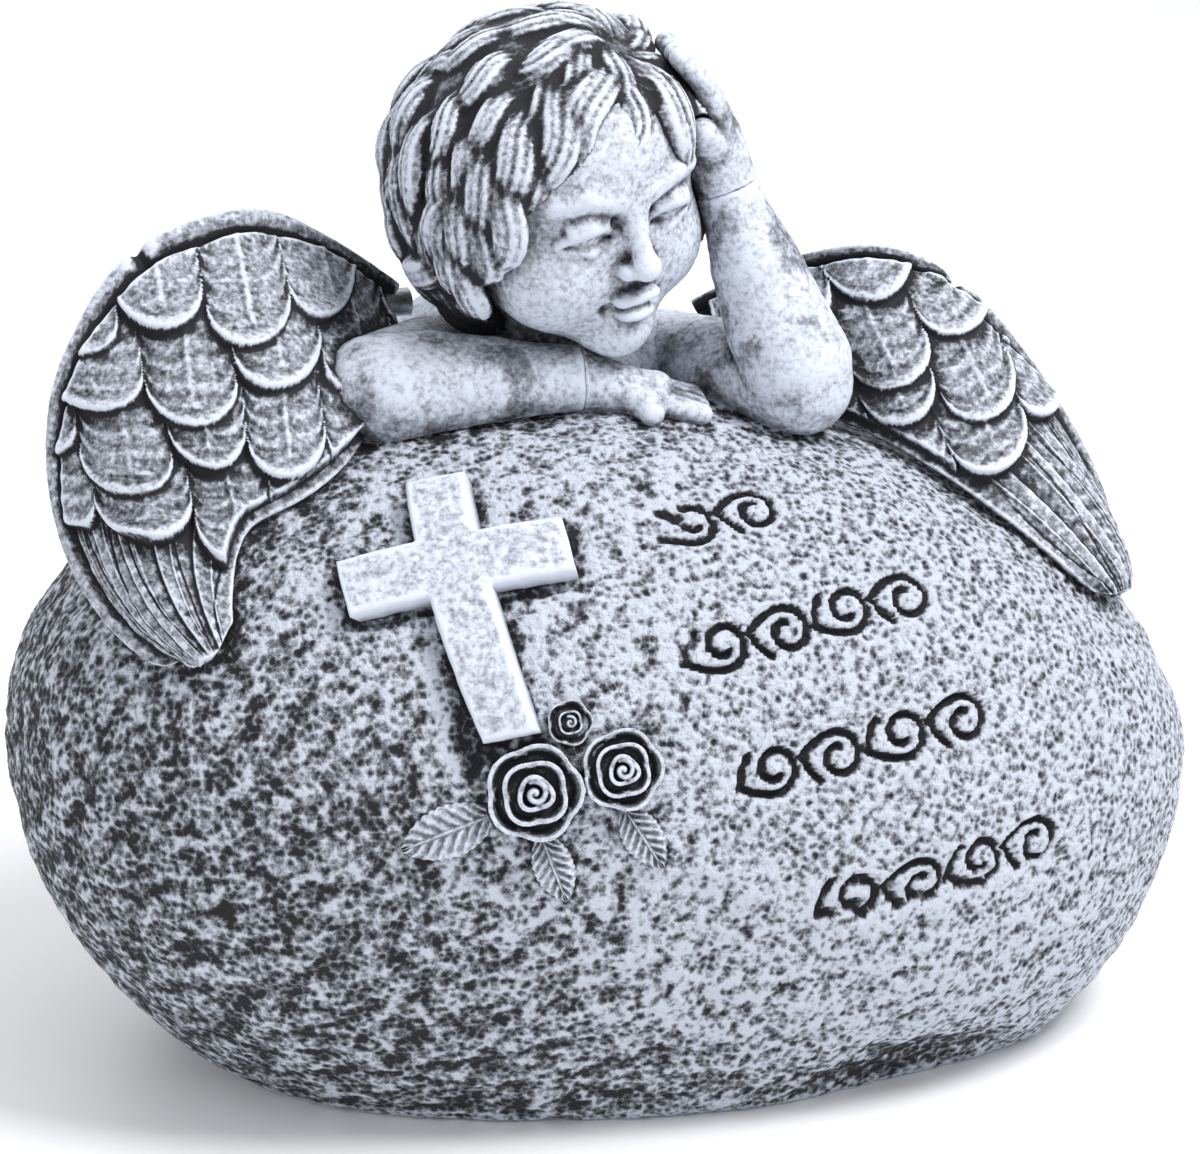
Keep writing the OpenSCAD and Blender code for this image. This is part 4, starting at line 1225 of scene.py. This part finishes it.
def build_cross(sizes):
    """The raised cross, with worn edges, following the boulder."""
    across, up, _, mid = cross_axes()
    step = 0.35
    x = np.arange(-CROSS_WIDTH / 2, CROSS_WIDTH / 2 + step / 2, step)
    y = np.arange(CROSS_TOP - CROSS_LENGTH, CROSS_TOP + step / 2, step)
    gx, gy = np.meshgrid(x, y, indexing="ij")
    inside = cross_distance(gx, gy) <= 0.12
    cell = inside[:-1, :-1] & inside[1:, :-1] & inside[:-1, 1:] & inside[1:, 1:]
    depth = np.clip(-cross_distance(gx, gy), 0, 9)
    bevel = sizes.cross_bevel / MM
    drop = bevel * (1 - np.sqrt(1 - np.clip(1 - depth / bevel, 0, 1) ** 2))
    flat = mid + gx[..., None] * across + gy[..., None] * up
    top = on_stone(flat, CROSS_THICK - drop)
    bottom = on_stone(flat, np.full(gx.shape, GLUE))
    m, n = gx.shape
    at = np.arange(m * n).reshape(m, n)
    low = at + m * n
    faces = []
    for i, j in zip(*np.nonzero(cell)):
        a, b, c, d = at[i, j], at[i + 1, j], at[i + 1, j + 1], at[i, j + 1]
        faces.append([a, b, c, d])
        faces.append([low[i, j], low[i, j + 1], low[i + 1, j + 1], low[i + 1, j]])
        for di, dj, p, q in ((-1, 0, d, a), (1, 0, b, c), (0, -1, a, b), (0, 1, c, d)):
            ii, jj = i + di, j + dj
            if 0 <= ii < m - 1 and 0 <= jj < n - 1 and cell[ii, jj]:
                continue
            faces.append([q, p, p + m * n, q + m * n])
    points = np.concatenate([top.reshape(-1, 3), bottom.reshape(-1, 3)])
    used = np.unique(np.concatenate([np.array(f) for f in faces]))
    index = np.full(len(points), -1)
    index[used] = np.arange(len(used))
    faces = [[int(index[i]) for i in f] for f in faces]
    worn = (0.10, 2.0, 11, 3)
    new_piece("cross_plate", points[used], faces, ["cross"], "cross_resin", worn, 1.2)


def flower_places():
    """Places of the large rose, the small rose and the bud on the boulder."""
    _, up, _, mid = cross_axes()
    foot = on_stone(mid + up * (CROSS_TOP - CROSS_LENGTH))
    large = foot + np.array([2.6, 0, -ROSE - 1])
    closer = 0.7  # the round of the boulder parts them by this much more
    small = large + np.array([ROSE + SMALL_ROSE + ROSE_GAP - closer, 0, 2])
    bud = large + np.array([4.3, 0, ROSE + BUD - 0.4])
    return large, small, bud


def petal(clay, middle, radius, thick, rise, start, span, lean):
    """One curled petal: part of a leaning ring wall, from an angle through a span."""
    part, p = clay.everywhere()
    q = p - np.asarray(middle, float)
    z = q[..., 2]
    r = np.hypot(q[..., 0], q[..., 1])
    a = np.arctan2(q[..., 1], q[..., 0]) - start
    a = (a + math.pi) % (2 * math.pi) - math.pi
    wall = radius * (1 + lean * (z / rise) ** 2) * (1 + 0.05 * np.cos(3 * a))
    top = rise * (1 - 0.28 * (a / (span / 2)) ** 2)
    d = np.abs(r - wall) - thick * (1 - 0.35 * np.clip(z / rise, 0, 1))
    d = np.maximum(d, z - top)
    d = np.maximum(d, (np.abs(a) - span / 2) * radius * 0.8)
    d = np.maximum(d, -z)
    clay.join(part, d, 0.25)


def build_rose(name, place, radius, height, rings):
    """A rose seated on the boulder, with rings of overlapping petals round a rolled heart."""
    reach = radius * 1.12
    clay = Clay((-reach, -reach, -0.6), (reach, reach, height * 1.15), radius / 42)
    clay.ball((0, 0, 0), (radius * 0.86, radius * 0.86, height * 0.42), 0.3)
    for ring in range(rings):
        share = 1 - ring / rings
        count = 5 if ring == 0 else 4 if ring == 1 else 3
        for k in range(count):
            start = 2 * math.pi * (k / count) + ring * 0.9
            off = 0.05 * radius
            middle = (off * math.cos(start), off * math.sin(start), 0)
            petal(
                clay, middle, radius * 0.80 * share, radius * 0.075, height * (0.62 + 0.13 * ring),
                start, 2 * math.pi / count * 1.35, 0.16,
            )
    turn = np.linspace(0.4, 2.6 * math.pi, 26)
    coil = radius * 0.035 * turn
    heart = np.stack([coil * np.cos(turn), coil * np.sin(turn), np.full(26, height * 0.72)], -1)
    clay.rod(heart, [radius * 0.07] * 26, 0.2)
    clay.trim(lambda p: -p[..., 2])
    axes = np.array(face_axes(place))
    seat = on_stone(place) + axes[2] * GLUE
    clay_piece(
        name + "_petals", clay, name, "flower_resin", None, 0.8, place=lambda p: seat + p @ axes)


def build_leaf(name, start, way, reach):
    """A leaf on the boulder with a folded midrib, side veins and a notched rim."""
    u, v, _ = face_axes(start)
    ahead, aside = turned(u, v, way)
    s, t = np.meshgrid(np.linspace(0, 1, 90), np.linspace(-1, 1, 61), indexing="ij")
    width = 0.27 * reach * np.sin(np.radians(18 + 160 * s)) ** 0.7
    width = width * (1 + 0.07 * np.abs((s * 11) % 1 - 0.5) * 2)
    flat = start + ahead * (reach * s)[..., None] + aside * (width * t)[..., None]
    rise = 0.35 + 0.75 * np.abs(t) * np.sin(math.pi * s) + 0.25 * np.exp(-((t / 0.07) ** 2))
    veins = 0.16 * np.cos(2 * math.pi * (s * 7 - np.abs(t) * 1.5))
    veins = veins * smooth_step(0.06, 0.2, np.abs(t))
    edge = 1 - 0.75 * np.abs(t) ** 8
    top = on_stone(flat, GLUE + 0.15 + (rise + veins) * edge)
    bottom = on_stone(flat, np.full(s.shape, GLUE))
    points, faces = grid_solid(top, bottom)
    new_piece(name + "_blade", points, faces, [name], "flower_resin", None, 0.8)


def build_flowers():
    """Two roses and a bud at the cross's foot, with three leaves."""
    large, small, bud = flower_places()
    build_rose("rose_large", large, ROSE, 4.2, 3)
    build_rose("rose_small", small, SMALL_ROSE, 3.6, 3)
    build_rose("rosebud", bud, BUD, 2.8, 2)
    for name, flower, radius, out, way, reach in (
        ("leaf_left", large, ROSE, 208, 200, LEAF),
        ("leaf_lower", large, ROSE, 280, 288, LEAF * 0.75),
        ("leaf_right", small, SMALL_ROSE, 275, 300, LEAF * 0.75),
    ):
        u, v, _ = face_axes(flower)
        start = on_stone(flower) + turned(u, v, math.radians(out))[0] * (radius + ROSE_GAP)
        build_leaf(name, start, math.radians(way), reach)


# ---- Add-on ----


class CherubSizes(bpy.types.PropertyGroup):
    """Depths of the carved detail."""

    engraving_depth: bpy.props.FloatProperty(
        name="Engraving depth", description="Depth of the engraved ornament",
        default=1.2 * MM, min=0, max=2 * MM, unit="LENGTH", precision=5)
    feather_relief: bpy.props.FloatProperty(
        name="Feather relief", description="Height of the feathers' relief",
        default=0.95 * MM, min=0, max=2 * MM, unit="LENGTH", precision=5)
    lock_radius: bpy.props.FloatProperty(
        name="Lock radius", description="Radius of a lock of hair",
        default=2.5 * MM, min=1 * MM, max=4 * MM, unit="LENGTH", precision=5)
    cross_bevel: bpy.props.FloatProperty(
        name="Cross bevel", description="Width of the cross's rounded edge",
        default=0.9 * MM, min=0.2 * MM, max=2 * MM, unit="LENGTH", precision=5)


class CherubColours(bpy.types.PropertyGroup):
    """Colours of the patina."""

    dark: bpy.props.FloatVectorProperty(
        name="Dark wash", description="Colour of the wash in the hollows",
        default=(0.018, 0.018, 0.022), min=0, max=1, subtype="COLOR")
    middle: bpy.props.FloatVectorProperty(
        name="Resin grey", description="Colour of the resin between wash and brush",
        default=(0.20, 0.21, 0.24), min=0, max=1, subtype="COLOR")
    pale: bpy.props.FloatVectorProperty(
        name="Dry-brushed coat", description="Colour of the coat on what stands proud",
        default=(0.68, 0.72, 0.82), min=0, max=1, subtype="COLOR")


class CHERUB_OT_finishes(bpy.types.Operator):
    """Make the resin, rubber and steel finishes"""

    bl_idname = "cherub.finishes"
    bl_label = "Make finishes"

    def execute(self, context):
        hammered_group()
        patina_group()
        c = context.scene.cherub_colours
        coats = (tuple(c.dark), tuple(c.middle), tuple(c.pale))
        resin("stone_resin", coats, 1.15, 0.8, 1.35, 1.1, 0.1, 0.8)
        resin("skin_resin", coats, 1.1, 0.1, 0.9, 1.2, -0.35, 0.10)
        resin("hair_resin", coats, 0.9, 0.2, 0.8, 2.0, 0.95, 0.12)
        resin("wing_resin", coats, 1.0, 0.3, 1.0, 1.7, 0.30, 0.18)
        resin("cross_resin", coats, 1.4, 0.1, 1.0, 1.1, -0.3, 0.16)
        resin("flower_resin", coats, 0.8, 0.3, 0.6, 1.6, 0.1, 0.10)
        plain_finish("pin_steel", (0.55, 0.55, 0.57), 1.0, 0.35, 0.6)
        plain_finish("plug_rubber", (0.03, 0.03, 0.032), 0.0, 0.7, 0.8)
        return {"FINISHED"}


class PieceOperator:
    """What the piece operators share."""

    bl_options = {"REGISTER", "UNDO"}

    def execute(self, context):
        self.build(context.scene.cherub_sizes)
        return {"FINISHED"}


class CHERUB_OT_body(PieceOperator, bpy.types.Operator):
    """Model the body, the arms and the hands"""

    bl_idname = "cherub.body"
    bl_label = "Body and arms"

    def build(self, sizes):
        build_torso()
        build_arms()
        build_hands()


class CHERUB_OT_head(PieceOperator, bpy.types.Operator):
    """Model the head and its face"""

    bl_idname = "cherub.head"
    bl_label = "Head"

    def build(self, sizes):
        build_head()


class CHERUB_OT_hair(PieceOperator, bpy.types.Operator):
    """Model the curled hair"""

    bl_idname = "cherub.hair"
    bl_label = "Hair"

    def build(self, sizes):
        build_hair(sizes)


class CHERUB_OT_wings(PieceOperator, bpy.types.Operator):
    """Model both wings and their coverts"""

    bl_idname = "cherub.wings"
    bl_label = "Wings"

    def build(self, sizes):
        build_wing("right_wing", RIGHT_EDGE, RIGHT_TRAIL, 1, sizes)
        build_wing("left_wing", LEFT_EDGE, LEFT_TRAIL, -1, sizes)


class CHERUB_OT_cross(PieceOperator, bpy.types.Operator):
    """Model the raised cross"""

    bl_idname = "cherub.cross"
    bl_label = "Cross"

    def build(self, sizes):
        build_cross(sizes)


class CHERUB_OT_flowers(PieceOperator, bpy.types.Operator):
    """Model the roses, the bud and the leaves"""

    bl_idname = "cherub.flowers"
    bl_label = "Roses and leaves"

    def build(self, sizes):
        build_flowers()


class CHERUB_OT_boulder(PieceOperator, bpy.types.Operator):
    """Model the boulder with its engraved ornament"""

    bl_idname = "cherub.boulder"
    bl_label = "Boulder"

    def build(self, sizes):
        build_boulder(sizes)


class CHERUB_OT_occlusion_shade(bpy.types.Operator):
    """Paint ambient-occlusion shade, and the wash gathered there, where the pieces shelter each
    other, once they are all there
    """

    bl_idname = "cherub.wash"
    bl_label = "Gather the wash"

    def execute(self, context):
        paint_occlusion_shade()
        return {"FINISHED"}


class CHERUB_OT_fittings(bpy.types.Operator):
    """Finish the plug and the pins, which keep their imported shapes"""

    bl_idname = "cherub.fittings"
    bl_label = "Plug and pins"

    def execute(self, context):
        for node, slot in (
            ("base_plug", "plug_rubber"), ("neck_pin", "pin_steel"), ("cross_pins", "pin_steel"),
            ("right_wing_pin", "pin_steel"), ("left_wing_pin", "pin_steel"),
        ):
            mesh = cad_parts[node].data
            mesh.materials.clear()
            mesh.materials.append(bpy.data.materials[slot + FINISH])
        return {"FINISHED"}


def area_light(name, at, towards, size, power, colour=(1, 1, 1)):
    """A soft square light, with places in millimetres."""
    data = bpy.data.lights.new(name, "AREA")
    data.size = size * MM
    data.energy = power
    data.color = colour
    lamp = bpy.data.objects.new(name, data)
    lamp.location = Vector(at) * MM
    lamp.rotation_mode = "QUATERNION"
    lamp.rotation_quaternion = (Vector(towards) - Vector(at)).to_track_quat("-Z", "Y")
    bpy.context.scene.collection.objects.link(lamp)
    return lamp


class CHERUB_OT_stage(bpy.types.Operator):
    """Make the floor, the lights and the camera"""

    bl_idname = "cherub.stage"
    bl_label = "Stage"

    def execute(self, context):
        scene = context.scene
        half = 3.0  # half the floor's width, in metres
        mesh = bpy.data.meshes.new("floor")
        corners = [(-half, -half, 0), (half, -half, 0), (half, half, 0), (-half, half, 0)]
        mesh.from_pydata(corners, [], [(0, 1, 2, 3)])
        floor = bpy.data.objects.new("floor", mesh)
        scene.collection.objects.link(floor)
        pale = bpy.data.materials.new("pale_floor")
        pale.use_nodes = True
        shader = pale.node_tree.nodes["Principled BSDF"]
        shader.inputs["Base Color"].default_value = (0.95, 0.95, 0.955, 1)
        shader.inputs["Roughness"].default_value = 0.9
        mesh.materials.append(pale)

        world = bpy.data.worlds.new("studio")
        scene.world = world
        world.use_nodes = True
        sky = world.node_tree.nodes["Background"]
        sky.inputs["Color"].default_value = (0.95, 0.97, 1.0, 1)
        sky.inputs["Strength"].default_value = 0.74

        middle = (0, 0, 70)
        area_light("key", (330, -250, 720), middle, 260, 4.8)
        area_light("fill", (-600, -500, 350), middle, 500, 0.6)
        area_light("back", (-200, 600, 600), middle, 400, 1.5)

        back = Vector((math.sin(AZIMUTH) * math.cos(ELEVATION),
                       -math.cos(AZIMUTH) * math.cos(ELEVATION), math.sin(ELEVATION)))
        data = bpy.data.cameras.new("camera")
        data.sensor_width = 36
        data.lens = LENS
        data.clip_start, data.clip_end = 0.01, 10
        camera = bpy.data.objects.new("camera", data)
        camera.location = (Vector((0, 0, AIM_HEIGHT)) + back * DISTANCE) * MM
        camera.rotation_mode = "QUATERNION"
        camera.rotation_quaternion = (-back).to_track_quat("-Z", "Y")
        scene.collection.objects.link(camera)
        scene.camera = camera
        scene.view_settings.view_transform = "Standard"
        return {"FINISHED"}


# The camera's direction from the figurine, its distance and aim in millimetres, and its lens
AZIMUTH, ELEVATION = math.radians(-12), math.radians(20)
DISTANCE, AIM_HEIGHT, LENS = 700, 67.4, 147

STEPS = ("finishes", "body", "head", "hair", "wings", "cross", "flowers", "boulder", "wash",
         "fittings", "stage")


class CHERUB_PT_panel(bpy.types.Panel):
    """The figurine's sizes, colours and pieces"""

    bl_label = "Cherub"
    bl_idname = "CHERUB_PT_panel"
    bl_space_type = "VIEW_3D"
    bl_region_type = "UI"
    bl_category = "Cherub"

    def draw(self, context):
        layout = self.layout
        for group in (context.scene.cherub_sizes, context.scene.cherub_colours):
            for name in group.__annotations__:
                layout.prop(group, name)
        for step in STEPS:
            layout.operator("cherub." + step)


CLASSES = (
    CherubSizes, CherubColours, CHERUB_OT_finishes, CHERUB_OT_body, CHERUB_OT_head, CHERUB_OT_hair,
    CHERUB_OT_wings, CHERUB_OT_cross, CHERUB_OT_flowers, CHERUB_OT_boulder, CHERUB_OT_occlusion_shade,
    CHERUB_OT_fittings, CHERUB_OT_stage, CHERUB_PT_panel)


def register():
    for cls in CLASSES:
        bpy.utils.register_class(cls)
    bpy.types.Scene.cherub_sizes = bpy.props.PointerProperty(type=CherubSizes)
    bpy.types.Scene.cherub_colours = bpy.props.PointerProperty(type=CherubColours)


def unregister():
    del bpy.types.Scene.cherub_colours
    del bpy.types.Scene.cherub_sizes
    for cls in reversed(CLASSES):
        bpy.utils.unregister_class(cls)


def main():
    register()
    for step in STEPS:
        getattr(bpy.ops.cherub, step)()


if __name__ == "__main__":
    main()
